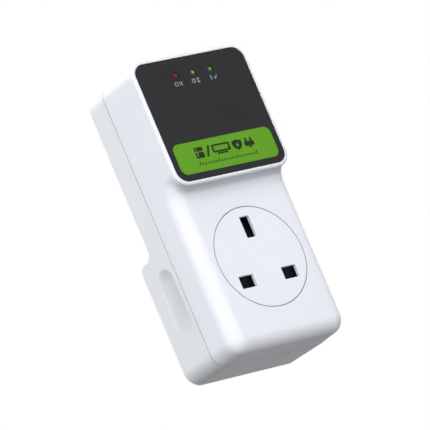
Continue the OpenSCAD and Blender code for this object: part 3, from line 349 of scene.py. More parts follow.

# %% [markdown]
# The shells meet in a step: a tongue inside the front one stands in a rebate of the rear one, so
# that nothing reaches the live parts in a straight line. Outside they keep a fine shadow gap,
# which hides small errors of moulding; painted shade in the case's colour makes it the dark line
# round the case. The rim, the round hole, the lamp holes and the screw posts join the two skins,
# and all of it is welded.

# %% Mating rims and the assembled front shell
PART_LIP, PART_GAP, GAP_DEEP = 0.08, 0.1, 0.7
TONGUE_IN, TONGUE_Y, REBATE_IN, REBATE_Y = 1.15, -20.1, 1.05, -20.0
RECESS_Y, RIM_WIDTH, LIP = -43.6, 1.456, 0.12
LAMP_XS, LAMP_Z, LAMP_HOLE = (-9.0, 0.0, 9.0), 88.8, 1.7
FACE_Z, HOLE_R, HOLE_EDGE = 9.035, 22.0, 0.1
SCREW_X, SCREW_ZS, SCREW_BORE = 22.1, (-20.7, 88.0), 1.55
SCREW_POST_R, SCREW_ROOTS, SCREW_POST_END = 3.2, (-36.6, -42.5), -22.5
EAR_X, EAR_Z, EAR_Y, EAR_ROOT, SMALL_POST_R, PILOT_R = 24.26, 25.29, -31.6, -36.8, 2.6, 1.05
INNER_CHIN, FLAT_BAND = 0.02, 0.6  # what is left of the chin inside; the band round an inner flat


def parting_rim(skin, side, step_in, step_y):
    """The mating rim: a rounded edge, a shadow gap, a flat, a step and a flat to the inner wall."""
    gap_y = PARTING_Y + side * PART_GAP
    profile = [(d, gap_y + side * depth) for depth, d in round_edge(PART_LIP)]
    profile += [(GAP_DEEP, gap_y), (GAP_DEEP, PARTING_Y)]
    profile += [(step_in, PARTING_Y), (step_in, step_y), (WALL, step_y)]
    skin.grid([around(CASE_OUTLINE, CORNER - d, y) for d, y in profile], ring=True)


front = Skin()
front_skin(front, 0, HOLLOW, RIM, PARTING_Y - PART_GAP - PART_LIP)
front_skin(front, WALL, FRONT_Y - HEAD_Y - INNER_CHIN, 0, TONGUE_Y)
parting_rim(front, -1, TONGUE_IN, TONGUE_Y)
rim_profile = [(d, HEAD_Y + depth) for d, depth in round_edge(RIM, 8)[::-1]]
rim_profile += [(RIM_WIDTH - LIP * math.cos(a), HEAD_Y + LIP * (1 - math.sin(a)))
                for a in np.linspace(math.pi / 2, 0, 4)]
rim_profile += [(RIM_WIDTH, RECESS_Y)]
front.grid([around(HEAD_OUTLINE, CORNER - d, y) for d, y in rim_profile], ring=True)
inner_head_y = HEAD_Y + WALL
front.grid([around(HEAD_OUTLINE, CORNER - WALL - d, inner_head_y) for d in (0, FLAT_BAND)],
           ring=True)
front.flat(1, RECESS_Y, inner_head_y)
for x in LAMP_XS:
    bore(front, x, LAMP_Z, [(LAMP_HOLE, RECESS_Y), (LAMP_HOLE, inner_head_y)], count=32)
hole = [(HOLE_R + d, FRONT_Y + depth) for d, depth in round_edge(HOLE_EDGE)]
bore(front, 0, FACE_Z, hole + [(HOLE_R, FRONT_Y + WALL)], count=128)
for x in (-SCREW_X, SCREW_X):
    for z, root_y in zip(SCREW_ZS, SCREW_ROOTS):
        post(front, x, z, SCREW_POST_R, SCREW_BORE, root_y, SCREW_POST_END)
for x in (-EAR_X, EAR_X):
    post(front, x, EAR_Z, SMALL_POST_R, PILOT_R, EAR_ROOT, EAR_Y)
front_shell = weld(front, "front_shell_moulding", draft=True)

# %% [markdown]
# ## The rear shell
# The same block behind the parting line, thick below, where the pins and their heads sit, and
# stepped forward above. The step has a rounded outer edge and a hollow foot. Each side has a
# shallow scoop that fingers pull on. Four screws go in from behind through sunk pockets, and the
# three pins come out of square slots in the flat that rests on the wall socket. Where a path of
# y, z points turns the corner, the back edge is a band of quarter rounds between the side's
# normal and the path's own.

# %% Paths of the rear shell
BACK_EDGE = 0.5
STEP_HEIGHT, STEP_OUT, STEP_IN = 26.0, 3.6, 4.0
PIN_X, LIVE_Z, EARTH_Z = 11.115, -11.115, 11.115
BASE_IN, BACK_IN, SEAT_Y, TUBE_END = -3.0, -11.8, -12.2, -22.2
bend = PHI[::2]
step_path = np.vstack([
    np.column_stack([-STEP_OUT + STEP_OUT * np.cos(bend),
                     STEP_HEIGHT - STEP_OUT + STEP_OUT * np.sin(bend),
                     np.cos(bend), np.sin(bend)]),
    np.column_stack([BACK_Y + STEP_IN - STEP_IN * np.sin(bend),
                     STEP_HEIGHT + STEP_IN - STEP_IN * np.cos(bend),
                     np.sin(bend), np.cos(bend)])])
inner_path = np.array([[BASE_IN, 23.2], [-3.6, 23.8], [-7.8, 23.8], [BACK_IN, 27.8]])


def side_points(path, side):
    """Case-outline columns along a side: core x, z, normal x and z, then the depth."""
    still = np.ones(len(path))
    return np.column_stack([still * side * CORE_X, path[:, 1], still * side, 0 * still, path[:, 0]])


def corners_at(outline, y):
    """Outline columns with one depth added to every row."""
    return np.column_stack([outline, np.full(len(outline), y)])


def back_loop(path, low_y, high_y):
    """The whole back edge, going round: low corners, right side, high corners, left side."""
    return np.vstack([corners_at(low_corners(CORE_LOW), low_y), side_points(path, 1),
                      corners_at(high_corners(CORE_HIGH), high_y), side_points(path, -1)[::-1]])


def back_normals(path):
    """The back surface's normal (y, z) at each point of the back loop."""
    flat = np.tile([1.0, 0.0], (2 * (ARC + 1), 1))
    return np.vstack([flat, path[:, 2:], flat, path[::-1, 2:]])


def across(path, reach):
    """The path's y, z points carried from x = -reach to x = reach."""
    return np.stack([np.column_stack([np.full(len(path), x), path[:, :2]])
                     for x in (-reach, reach)], axis=1)


print("step path", len(step_path), "points, inner path", len(inner_path))

# %% [markdown]
# The outer skin is that edge band, the stepped back between its two sides, and the upright
# corners. The inner one is made the same way with the wall's thickness off. Sides, back and base
# stay open here, because the scoops, pockets and slots of the next step cut into them.

# %% Outer and inner skins of the rear shell
rear = Skin()
loop, lean = back_loop(step_path, 0.0, BACK_Y), back_normals(step_path)
rows = []
for side_cut, back_cut in round_edge(BACK_EDGE, 5):
    ring = around(loop, CORNER - side_cut, loop[:, 4])
    rows.append(ring - np.column_stack([0 * lean[:, 0], lean * back_cut]))
rear.grid(rows, ring=True)
rear.grid(across(step_path, HALF_W - BACK_EDGE))
low, high, lip_y = low_corners(CORE_LOW), high_corners(CORE_HIGH), PARTING_Y + PART_GAP + PART_LIP
rear.grid([around(low, CORNER, lip_y), around(low, CORNER, -BACK_EDGE)])
rear.grid([around(high, CORNER, lip_y), around(high, CORNER, BACK_Y - BACK_EDGE)])
parting_rim(rear, 1, REBATE_IN, REBATE_Y)
inner = back_loop(inner_path, BASE_IN, BACK_IN)
rear.grid([around(inner, CORNER - WALL - d, inner[:, 4]) for d in (0, FLAT_BAND)], ring=True)
rear.grid(across(inner_path, HALF_W - WALL - FLAT_BAND))
rear.grid([around(low, CORNER - WALL, REBATE_Y), around(low, CORNER - WALL, BASE_IN)])
rear.grid([around(high, CORNER - WALL, REBATE_Y), around(high, CORNER - WALL, BACK_IN)])
rear.flat(0, -HALF_W, HALF_W, WALL - HALF_W, HALF_W - WALL)
rear.flat(1, 0.0, BACK_Y, BASE_IN, BACK_IN)
print("rear skins", rear.total, "points")

# %% [markdown]
# A finger scoop is a groove with round ends and a rolled lip. Its loops all run round one line, so
# the ends come out round without a seam. Screw pockets are bores of several radii, and the pins'
# slots follow the pins with a small gap.

# %% Finger scoops, screw pockets and pin slots
GRIP_Y, GRIP_LOW, GRIP_HIGH, GRIP_W, GRIP_D, GRIP_LIP = -13.3, -4.2, 13.8, 11.2, 1.0, 1.2
GRIP_BACK, GRIP_RISE, NOSE = -1.0, 7.0, 25
POCKET_R, POCKET_EDGE, SHANK_R, TUBE_R = 2.9, 0.3, 1.7, 3.4
BOARD_POSTS, BOARD_ROOT, BOARD_END = ((22.3, 37.3), (14.1, 91.4)), -11.3, -17.6
CLAMP_ZS, CLAMP_R, CLAMP_ROOT, CLAMP_END = (-11.115, 1.334), 2.4, -2.5, -6.0
LIVE_PIN, EARTH_PIN, PIN_GAP, PIN_CORNER = (6.35, 4.0), (4.0, 8.0), 0.1, 0.15
scoop_r = (GRIP_D ** 2 + GRIP_W ** 2 / 4) / (2 * GRIP_D)
lip_out = math.sqrt((scoop_r + GRIP_LIP) ** 2 - (scoop_r - GRIP_D + GRIP_LIP) ** 2)
meet = math.asin(lip_out / (scoop_r + GRIP_LIP))


def scoop(skin, side):
    """A round-nosed cut: loops at the distance d round a line, sqrt(R^2 - d^2) - R + depth deep.

    The line slides forward and its foot rises as the loops narrow, by a share (1 - d / widest),
    so that the wall a fingertip pulls on, next to the parting line, is the steep one.
    """
    lip, bowl = np.linspace(0, meet, 5), np.linspace(meet, 0, 13)[1:]
    out = np.concatenate([lip_out - GRIP_LIP * np.sin(lip), scoop_r * np.sin(bowl)])
    deep = np.concatenate([GRIP_LIP * (1 - np.cos(lip)), scoop_r * np.cos(bowl) - scoop_r + GRIP_D])
    share = (1 - out / out[0])[:, None]
    turn = np.concatenate([np.linspace(0, math.pi, NOSE), np.linspace(math.pi, 2 * math.pi, NOSE)])
    upper = np.arange(2 * NOSE) < NOSE
    y = GRIP_Y + GRIP_BACK * share + out[:, None] * np.cos(turn)
    z = np.where(upper, GRIP_HIGH, GRIP_LOW + GRIP_RISE * share) + out[:, None] * np.sin(turn)
    x = np.broadcast_to(side * (HALF_W - deep[:, None]), y.shape)
    skin.grid(np.stack([x, y, z], axis=-1), ring=True)


for side in (-1, 1):
    scoop(rear, side)
    for z, face_y, inner_y in ((SCREW_ZS[0], 0.0, BASE_IN), (SCREW_ZS[1], BACK_Y, BACK_IN)):
        mouth = [(POCKET_R + d, face_y - depth) for d, depth in round_edge(POCKET_EDGE)]
        bore(rear, side * SCREW_X, z,
             mouth + [(POCKET_R, SEAT_Y), (SHANK_R, SEAT_Y), (SHANK_R, TUBE_END),
                      (TUBE_R, TUBE_END), (TUBE_R, inner_y)], count=32)
    for x, z in BOARD_POSTS:
        post(rear, side * x, z, SMALL_POST_R, PILOT_R, BOARD_ROOT, BOARD_END)
for z in CLAMP_ZS:
    post(rear, 0, z, CLAMP_R, PILOT_R, CLAMP_ROOT, CLAMP_END)
for x, z, size in ((-PIN_X, LIVE_Z, LIVE_PIN), (PIN_X, LIVE_Z, LIVE_PIN), (0, EARTH_Z, EARTH_PIN)):
    slot = window(x, z, *size, PIN_CORNER, PIN_GAP, steps=2)
    rear.grid(undrafted([at_depth(slot, 0.0), at_depth(slot, BASE_IN)]), ring=True)
rear_shell = weld(rear, "rear_shell_moulding", draft=True)

# %% [markdown]
# ## The socket face
# A round moulding that drops into the front shell and shows as one fine circle. Its three
# apertures have crisp edges with the smallest rounding, which is what catches a thin line of
# light in a real part. Behind a land of 1.5 mm each aperture opens out, so that a pin enters
# freely, and only the land shows pale against the dark inside. Four tabs hold it in the shell.

# %% The socket face
FACE_R, FACE_BACK, FACE_EDGE, SLOT_EDGE, SLOT_WALL, UNDERCUT = 21.72, -35.8, 0.1, 0.1, 1.5, 0.8
LIVE_HOLE, EARTH_HOLE, HOLE_CORNER = (7.5, 5.35), (4.85, 9.25), 0.25
LIVE_HOLE_Z, EARTH_HOLE_Z = -0.015, 22.215
TAB_IN, TAB_OUT, TAB_HALF, TAB_FRONT, TAB_BACK = 20.3, 23.3, 3.0, -36.0, -34.6
face = Skin()
edge_rows = [(FACE_R - d, FRONT_Y + depth) for d, depth in round_edge(FACE_EDGE)]
bore(face, 0, FACE_Z, edge_rows + [(FACE_R, FACE_BACK)], draft=False, count=128)
walls = [(d, FRONT_Y + depth) for d, depth in round_edge(SLOT_EDGE)]
walls += [(0, FRONT_Y + SLOT_WALL), (UNDERCUT, FRONT_Y + SLOT_WALL), (UNDERCUT, FACE_BACK)]
for x, z, size in ((-PIN_X, LIVE_HOLE_Z, LIVE_HOLE), (PIN_X, LIVE_HOLE_Z, LIVE_HOLE),
                   (0, EARTH_HOLE_Z, EARTH_HOLE)):
    face.grid([at_depth(window(x, z, *size, HOLE_CORNER + d, d), y) for d, y in walls], ring=True)
face.flat(1, FRONT_Y, FACE_BACK)
outline = np.array([[TAB_IN, -TAB_HALF], [TAB_OUT, -TAB_HALF],
                    [TAB_OUT, TAB_HALF], [TAB_IN, TAB_HALF]])
for dx, dz in ((1, 0), (0, 1), (-1, 0), (0, -1)):
    tab = outline @ np.array([[dx, dz], [-dz, dx]]) + [0, FACE_Z]
    middle = np.tile(tab.mean(axis=0), (4, 1))
    face.grid([at_depth(middle, TAB_FRONT), at_depth(tab, TAB_FRONT), at_depth(tab, TAB_BACK),
               at_depth(middle, TAB_BACK)], ring=True)
socket_face = weld(face, "socket_face_moulding")

# %% [markdown]
# ## The lamps
# Each lamp is a bead of tinted resin that comes up through a hole in the film and ends level
# with it. Its end is slightly domed: depth falls from the middle as the square of the radius.

# %% Lamp beads
LAMP_R, LAMP_TOP, LAMP_RISE, LAMP_FOOT = 1.54, -44.08, 0.22, -40.5
lamps = []
for name, x in zip(("red_lamp", "amber_lamp", "green_lamp"), LAMP_XS):
    bead = Skin()
    radii = LAMP_R * np.sin(np.linspace(0, math.pi / 2, 9))
    dome = [(r, LAMP_TOP + LAMP_RISE * (r / LAMP_R) ** 2) for r in radii]
    bore(bead, x, LAMP_Z, dome + [(LAMP_R, LAMP_FOOT), (0, LAMP_FOOT)], draft=False, count=40)
    lamps.append(weld(bead, name + "_bead"))

# %% [markdown]
# ## The shutter's return spring
# A small steel coil pushes the shutter back over the live and neutral holes. It is wound from
# round wire, with its end turns nearly closed so that it stands square on its peg. The wire's
# centre goes round a circle while it rises, and a ring of points is carried along it. Its foot
# rests on the case.

# %% Shutter spring
COIL_R, WIRE_R, COIL_TURNS, END_CLOSE = 1.2, 0.2, 7, 0.78
COIL_STEPS, WIRE_SIDES, COIL_AIR, SHUTTER_TRAVEL = 24, 10, 0.03, 6.5


def coil(x, y, low, high):
    """A tube round the helix (R cos a, R sin a, z), z = t - c sin(2 pi t) / (2 pi) of the height.

    The turns are closest where t is 0 or 1, because there z grows with 1 - c.
    """
    t = np.linspace(0, 1, COIL_TURNS * COIL_STEPS + 1)
    a = 2 * math.pi * COIL_TURNS * t
    z = t - END_CLOSE * np.sin(2 * math.pi * t) / (2 * math.pi)
    z = low + WIRE_R + (high - low - 2 * WIRE_R) * z
    out = np.stack([np.cos(a), np.sin(a), 0 * a], axis=-1)
    along = np.gradient(np.stack([COIL_R * out[:, 0], COIL_R * out[:, 1], z], axis=-1), axis=0)
    over = np.cross(out, along)
    over /= np.linalg.norm(over, axis=1)[:, None]
    b = 2 * math.pi * np.arange(WIRE_SIDES) / WIRE_SIDES
    tube = (out[:, None] * (COIL_R + WIRE_R * np.cos(b))[:, None]
            + over[:, None] * (WIRE_R * np.sin(b))[:, None]
            + np.stack([x + 0 * z, y + 0 * z, z], axis=-1)[:, None])
    ends = tube[[0, -1]].mean(axis=1, keepdims=True) + 0 * tube[[0, -1]]
    return np.concatenate([ends[:1], tube, ends[1:]])


coil_low, coil_high = np.array(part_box("shutter_spring")) / MM
coil_mid = (coil_low + coil_high) / 2
wound = Skin()
wound.grid(coil(0, coil_mid[1], coil_low[2] + COIL_AIR, coil_high[2] - COIL_AIR), ring=True)
spring = weld(wound, "shutter_return_spring")

# %% [markdown]
# ## The overlay and its printing
# A die-cut plastic film printed charcoal, with a green field near its lower edge and plain signs
# in two more inks. A print has no thickness that the eye sees, so each ink layer is a closed
# sheet a few hundredths of a millimetre thick, which needs no picture and stays sharp close up.

# %% The charcoal film and the green field
FILM_Y, INK_Y, SIGN_Y = -44.06, -44.08, -44.095
PANEL_HALF, PANEL_LOW, PANEL_HIGH, PANEL_R = 28.244, 44.016, 96.144, 5.3
BAND_HALF, BAND_LOW, BAND_HIGH, BAND_R = 25.44, 46.82, 60.12, 3.0
FILM_EDGE, FILM_SUNK, INK_EDGE, INK_SUNK = 0.1, 0.01, 0.004, 0.02
FILM_HOLE, FILM_HOLE_EDGE = 1.6, 0.06


def film(skin, low, high, r, front_y, back_y, edge):
    """A sheet with round corners and a rounded front edge."""
    rows = [at_depth(round_rect((low[0] + d, low[1] + d), (high[0] - d, high[1] - d), r - d,
                                steps=12), front_y + depth) for d, depth in round_edge(edge)]
    rows.append(at_depth(round_rect(low, high, r, steps=12), back_y))
    skin.grid(rows, ring=True)
    skin.flat(1, front_y, back_y)


panel = Skin()
film(panel, (-PANEL_HALF, PANEL_LOW), (PANEL_HALF, PANEL_HIGH), PANEL_R, FILM_Y,
     RECESS_Y - FILM_SUNK, FILM_EDGE)
for x in LAMP_XS:
    bore(panel, x, LAMP_Z, [(FILM_HOLE + FILM_HOLE_EDGE, FILM_Y),
                            (FILM_HOLE, FILM_Y + FILM_HOLE_EDGE),
                            (FILM_HOLE, RECESS_Y - FILM_SUNK)], draft=False, count=40)
overlay = weld(panel, "overlay_film")
band = Skin()
film(band, (-BAND_HALF, BAND_LOW), (BAND_HALF, BAND_HIGH), BAND_R, INK_Y, FILM_Y + INK_SUNK,
     INK_EDGE)
green_field = weld(band, "green_print")

# %% [markdown]
# The signs are flat outlines with holes. Each stroke is stamped at a depth of its own, a hair
# behind the one before, so that filling one never mixes it with another. Closed loops of points
# make them, because every sign is a rectangle, a circle or a short list of corners.

# %% Stamped outlines
INK_THICK, STROKE_STEP = 0.01, 0.0002


class Stamp(Skin):
    """Flat signs: every call adds one outline with its holes, a hair behind the one before."""

    def __init__(self, wide=1.0):
        super().__init__()
        self.front_y, self.wide = SIGN_Y, wide

    def press(self, *loops):
        """Loops of x, z points as one closed sheet: first the outline, then its holes."""
        front_y = self.front_y = self.front_y + STROKE_STEP
        for points in loops:
            points = np.asarray(points, float) * [self.wide, 1]
            self.grid([at_depth(points, front_y), at_depth(points, front_y + INK_THICK)], ring=True)
        self.flat(1, front_y, front_y + INK_THICK)


def box_loop(x, z, w, h):
    """A rectangle's corners: its middle, less and plus half its width and height."""
    return np.array([[-w, -h], [w, -h], [w, h], [-w, h]]) / 2 + [x, z]


def circle_loop(x, z, r, count=40):
    """Points x + r cos a, z + r sin a."""
    turn = np.linspace(0, 2 * math.pi, count, endpoint=False)
    return np.column_stack([x + r * np.cos(turn), z + r * np.sin(turn)])


def framed(stamp, x, z, w, h, r, line):
    """A round-cornered frame drawn with one line width."""
    stamp.press(window(x, z, w, h, r), window(x, z, w, h, max(r - line, 0.05), -line))


def ring_sign(stamp, x, z, r, line):
    """A circle with a circle cut out of it that is smaller by the line's width."""
    stamp.press(circle_loop(x, z, r), circle_loop(x, z, r - line))


print("depths between strokes", STROKE_STEP, "mm")

# %% [markdown]
# Below each lamp stands a pair of signs: an open ring and a cross, a clock and a sand glass, and a
# bar and a tick. They are about two millimetres tall.

# %% Signs below the lamps
SIGN_Z, SIGN_APART, SIGN_R = LAMP_Z - 3.75, 1.15, 1.0
left_xs, right_xs = ([x + way * SIGN_APART for x in LAMP_XS] for way in (-1, 1))
cross_stroke = np.array([[-0.95, -0.7], [-0.65, -0.95], [0.95, 0.7], [0.65, 0.95]])
sand_glass = np.array([[-0.8, 1.0], [-0.12, 0.0], [-0.8, -1.0],
                       [0.8, -1.0], [0.12, 0.0], [0.8, 1.0]])
tick_mark = np.array([[-1.0, 0.0], [-0.3, -0.95], [1.0, 0.75],
                      [0.7, 1.0], [-0.3, -0.3], [-0.75, 0.3]])
pale = Stamp()
ring_sign(pale, left_xs[0], SIGN_Z, SIGN_R, line=0.36)
for way in (1, -1):
    pale.press(cross_stroke * [way, 1] + [right_xs[0], SIGN_Z])
ring_sign(pale, left_xs[1], SIGN_Z, SIGN_R, line=0.32)
pale.press(box_loop(left_xs[1], SIGN_Z + 0.25, w=0.3, h=0.75))
pale.press(sand_glass + [right_xs[1], SIGN_Z])
pale.press(box_loop(left_xs[2], SIGN_Z, w=0.42, h=2.0))
pale.press(tick_mark + [right_xs[2], SIGN_Z])
lamp_signs = weld(pale, "lamp_signs")

# %% [markdown]
# On the green field stand a refrigerator, a slash, a television, a shield with a bolt, and a plug,
# over a scale of ticks. All are drawn about their row's middle and stretched sideways alike.

# %% Signs on the green field
ROW_Z, TALL = 54.9, 2.35
TICKS, TICK_X, TICK_Z, TICK_PITCH = 22, -11.6, 50.3, 1.1
TICK_W, TICK_LONG, TICK_SHORT = 0.42, 1.6, 1.0
slash = np.array([[-7.9, -TALL], [-7.1, -TALL], [-5.6, TALL], [-6.4, TALL]])
shield = np.array([[-2.0, 1.75], [0, TALL], [2.0, 1.75], [1.9, -0.2],
                   [1.2, -1.4], [0, -TALL], [-1.2, -1.4], [-1.9, -0.2]])
bolt = 0.8 * np.array([[0.5, 1.5], [-1.0, -0.2], [-0.15, -0.2],
                       [-0.5, -1.5], [1.0, 0.25], [0.15, 0.25]])
dark = Stamp(wide=1.28)
for low_z, high_z, handle_z, handle in ((0.55, TALL, 1.35, 0.9), (-TALL, 0.15, -0.75, 1.5)):
    dark.press(round_rect((-12.0, ROW_Z + low_z), (-8.6, ROW_Z + high_z), 0.4, steps=4),
               box_loop(-11.2, ROW_Z + handle_z, 0.4, handle))
dark.press(slash + [0, ROW_Z])
framed(dark, -1.4, ROW_Z + 0.45, w=7.2, h=3.5, r=0.35, line=0.75)
dark.press(box_loop(-1.4, ROW_Z - 1.85, w=4.2, h=0.7))
dark.press(shield + [5.2, ROW_Z], bolt + [5.2, ROW_Z])
for x, z, w, h in ((9.0, 1.45, 0.8, 1.5), (11.0, 1.45, 0.8, 1.5), (10.0, -1.8, 0.8, 0.8)):
    dark.press(box_loop(x, ROW_Z + z, w, h))
dark.press(round_rect((8.0, ROW_Z - 1.4), (12.0, ROW_Z + 0.7), 0.7, steps=4))
for k in range(TICKS):
    tall = TICK_LONG if k % 7 == 0 else TICK_SHORT
    dark.press(box_loop(TICK_X + TICK_PITCH * k, TICK_Z - (TICK_LONG - tall) / 2, TICK_W, tall))
band_signs = weld(dark, "band_signs")

# %% [markdown]
# ## Materials
# Every surface starts from what it is. Colours are written as the hex values one would pick from
# a paint card, and one function turns them to the linear numbers that the shader mixes. One small
# function adds a node with its values and links. Patterns are sized in millimetres: a noise of
# scale s on object coordinates in metres has features about 1/s metres across, and a wave of that
# scale has a band every 2 pi / 20 of it.

# %% Colour and node helpers
def linear(code, alpha=1.0):
    """sRGB hex to linear: c / 12.92 below 0.04045, else ((c + 0.055) / 1.055) ^ 2.4."""
    c = np.array([int(code[i:i + 2], 16) for i in (0, 2, 4)]) / 255
    c = np.where(c <= 0.04045, c / 12.92, ((c + 0.055) / 1.055) ** 2.4)
    return (*c.tolist(), alpha)


def per(size_mm):
    """The texture scale whose features are about that many millimetres across."""
    return 1 / (size_mm * MM)


def add(tree, kind, values=None, links=None, **settings):
    """Adds a shader node, sets its properties and input values, and links its inputs."""
    node = tree.nodes.new("ShaderNode" + kind)
    for name, value in settings.items():
        setattr(node, name, value)
    for name, value in (values or {}).items():
        node.inputs[name].default_value = value
    for name, source in (links or {}).items():
        tree.links.new(source, node.inputs[name])
    return node


def start(name, **shader):
    """A new material, its tree, its shader with constants on its sockets, and its coordinates."""
    made = bpy.data.materials.new(name)
    made.use_nodes = True
    tree = made.node_tree
    surface = next(n for n in tree.nodes if n.type == "BSDF_PRINCIPLED")
    for socket, value in shader.items():
        surface.inputs[socket.replace("_", " ")].default_value = value
    where = add(tree, "TexCoord").outputs["Object"]
    return made, tree, surface, where


print("white", tuple(round(v, 3) for v in linear("F0F2F6")))

# %% [markdown]
# Real surfaces are never one number. Three helpers let a pattern drive the shade, the gloss and
# the relief, and one measures the distance from a line or plane, for marks at a known place.

# %% Pattern helpers
def mottle(tree, surface, where, low, high, size_mm):
    """Colour drifts between two near shades with a noise of that size."""
    noise = add(tree, "TexNoise", {"Scale": per(size_mm), "Detail": 2.0}, {"Vector": where})
    ramp = add(tree, "ValToRGB", links={"Fac": noise.outputs["Fac"]})
    ramp.color_ramp.elements[0].position, ramp.color_ramp.elements[1].position = 0.3, 0.7
    ramp.color_ramp.elements[0].color, ramp.color_ramp.elements[1].color = linear(low), linear(high)
    tree.links.new(ramp.outputs["Color"], surface.inputs["Base Color"])
    return ramp.outputs["Color"]


def gloss(tree, surface, source, low, high):
    """Roughness runs from low to high with a 0 to 1 pattern."""
    span = add(tree, "MapRange", {"To Min": low, "To Max": high}, {"Value": source})
    tree.links.new(span.outputs["Result"], surface.inputs["Roughness"])


def relief(tree, surface, source, depth_mm, strength=1.0):
    """Bump of that height from a 0 to 1 pattern."""
    bump = add(tree, "Bump", {"Strength": strength, "Distance": depth_mm * MM}, {"Height": source})
    tree.links.new(bump.outputs["Normal"], surface.inputs["Normal"])


def distance(tree, where, centre, count):
    """Metres from a centre in mm, on the axes whose count is 1: |count x (where - centre)|."""
    moved = add(tree, "Mapping", {"Location": [-c * n * MM for c, n in zip(centre, count)],
                                  "Scale": count}, {"Vector": where})
    return add(tree, "VectorMath", links={0: moved.outputs["Vector"]},
               operation="LENGTH").outputs["Value"]


print("a noise of 4 mm has scale", per(4))

# %% [markdown]
# ### Moulded plastics
# ABS and nylon leave the mould with the tool's own finish. The case is a fine satin: broad soft
# highlights, a colour that is even to a few parts in a thousand, and a texture that only breaks
# up the reflections. Its real grain is under a tenth of a millimetre, too fine to show, so it is
# drawn at a third. Painted shade greys the colour in the parting gap, the gap round the socket
# face, the hollow below the head and the finger scoops, at places measured from the case's own
# sizes.

# %% Places with painted shade
HOLLOW_Y, HOLLOW_Z, HOLLOW_SHADE_NEAR, HOLLOW_SHADE_FAR = -41.2, 42.2, 0.8, 3.4
SCOOP_SHADE_NEAR, SCOOP_SHADE_FAR = lip_out - 1.6, lip_out + 0.1


def parting_gap_painted_shade(tree, where):
    """1 in the parting gap and on its lips, for painted shade: |y - parting| is under the gap plus
    half a lip.
    """
    y = add(tree, "SeparateXYZ", links={"Vector": where}).outputs["Y"]
    return add(tree, "Math", {1: PARTING_Y * MM, 2: (PART_GAP + 0.5 * PART_LIP) * MM}, {0: y},
               operation="COMPARE").outputs[0]


def circle_gap_painted_shade(tree, where):
    """1 at the gap round the socket face, for painted shade: the distance from its axis is within
    the gap.
    """
    far = distance(tree, where, (0, 0, FACE_Z), (1, 0, 1))
    return add(tree, "Math", {1: (FACE_R + HOLE_R) / 2 * MM, 2: (HOLE_R - FACE_R) * 0.6 * MM},
               {0: far}, operation="COMPARE").outputs[0]


def hollow_painted_shade(tree, where):
    """1 in the middle of the hollow below the head, fading to 0 with the distance from its line;
    painted shade darkens the colour there.
    """
    far = distance(tree, where, (0, HOLLOW_Y, HOLLOW_Z), (0, 1, 1))
    return add(tree, "MapRange", {"From Min": HOLLOW_SHADE_NEAR * MM, "From Max": HOLLOW_SHADE_FAR * MM,
                                  "To Min": 1.0, "To Max": 0.0}, {"Value": far},
               interpolation_type="SMOOTHSTEP").outputs["Result"]


def scoop_painted_shade(tree, where):
    """1 in the finger scoops, close to their middle line, where painted shade darkens the colour.
    """
    part = add(tree, "SeparateXYZ", links={"Vector": where})
    z = add(tree, "Clamp", {"Min": GRIP_LOW * MM, "Max": GRIP_HIGH * MM},
            {"Value": part.outputs["Z"]})
    line = add(tree, "CombineXYZ", {"Y": GRIP_Y * MM}, {"Z": z.outputs["Result"]})
    here = add(tree, "CombineXYZ", links={"Y": part.outputs["Y"], "Z": part.outputs["Z"]})
    far = add(tree, "VectorMath", links={0: here.outputs[0], 1: line.outputs[0]},
              operation="DISTANCE").outputs["Value"]
    return add(tree, "MapRange", {"From Min": SCOOP_SHADE_NEAR * MM, "From Max": SCOOP_SHADE_FAR * MM,
                                  "To Min": 1.0, "To Max": 0.0}, {"Value": far}).outputs["Result"]


print("scoop mark fades from", round(SCOOP_SHADE_NEAR, 2), "to", round(SCOOP_SHADE_FAR, 2), "mm")

# %% [markdown]
# One function makes every moulded plastic, from two near shades, a roughness range, a grain and
# any marks of painted shade. The materials go by the frame's material slots, so that each node
# finds its own.

# %% Moulded plastics
def moulded(name, low, high, rough=(0.3, 0.38), grain_mm=0.35, grain_depth=0.004, drift_mm=35,
            shine=0.5, painted_shade_marks=()):
    """Injection-moulded plastic with a drift of shade, a fine tool texture, even gloss and painted
    shade at its marks.
    """
    made, tree, surface, where = start(name, IOR=1.5, Specular_IOR_Level=shine)
    shade = mottle(tree, surface, where, low, high, drift_mm)
    # painted shade: each mark's mask mixes its grey into the colour
    for mask, code in painted_shade_marks:
        mixed = add(tree, "MixRGB", {"Color2": linear(code)},
                    {"Fac": mask(tree, where), "Color1": shade})
        shade = mixed.outputs["Color"]
        tree.links.new(shade, surface.inputs["Base Color"])
    grain = add(tree, "TexNoise", {"Scale": per(grain_mm), "Detail": 3.0}, {"Vector": where})
    gloss(tree, surface, grain.outputs["Fac"], *rough)
    relief(tree, surface, grain.outputs["Fac"], grain_depth, 0.5)
    return made


SATIN = {"rough": (0.45, 0.53), "shine": 0.06}  # fine-eroded ABS: soft, broad highlights
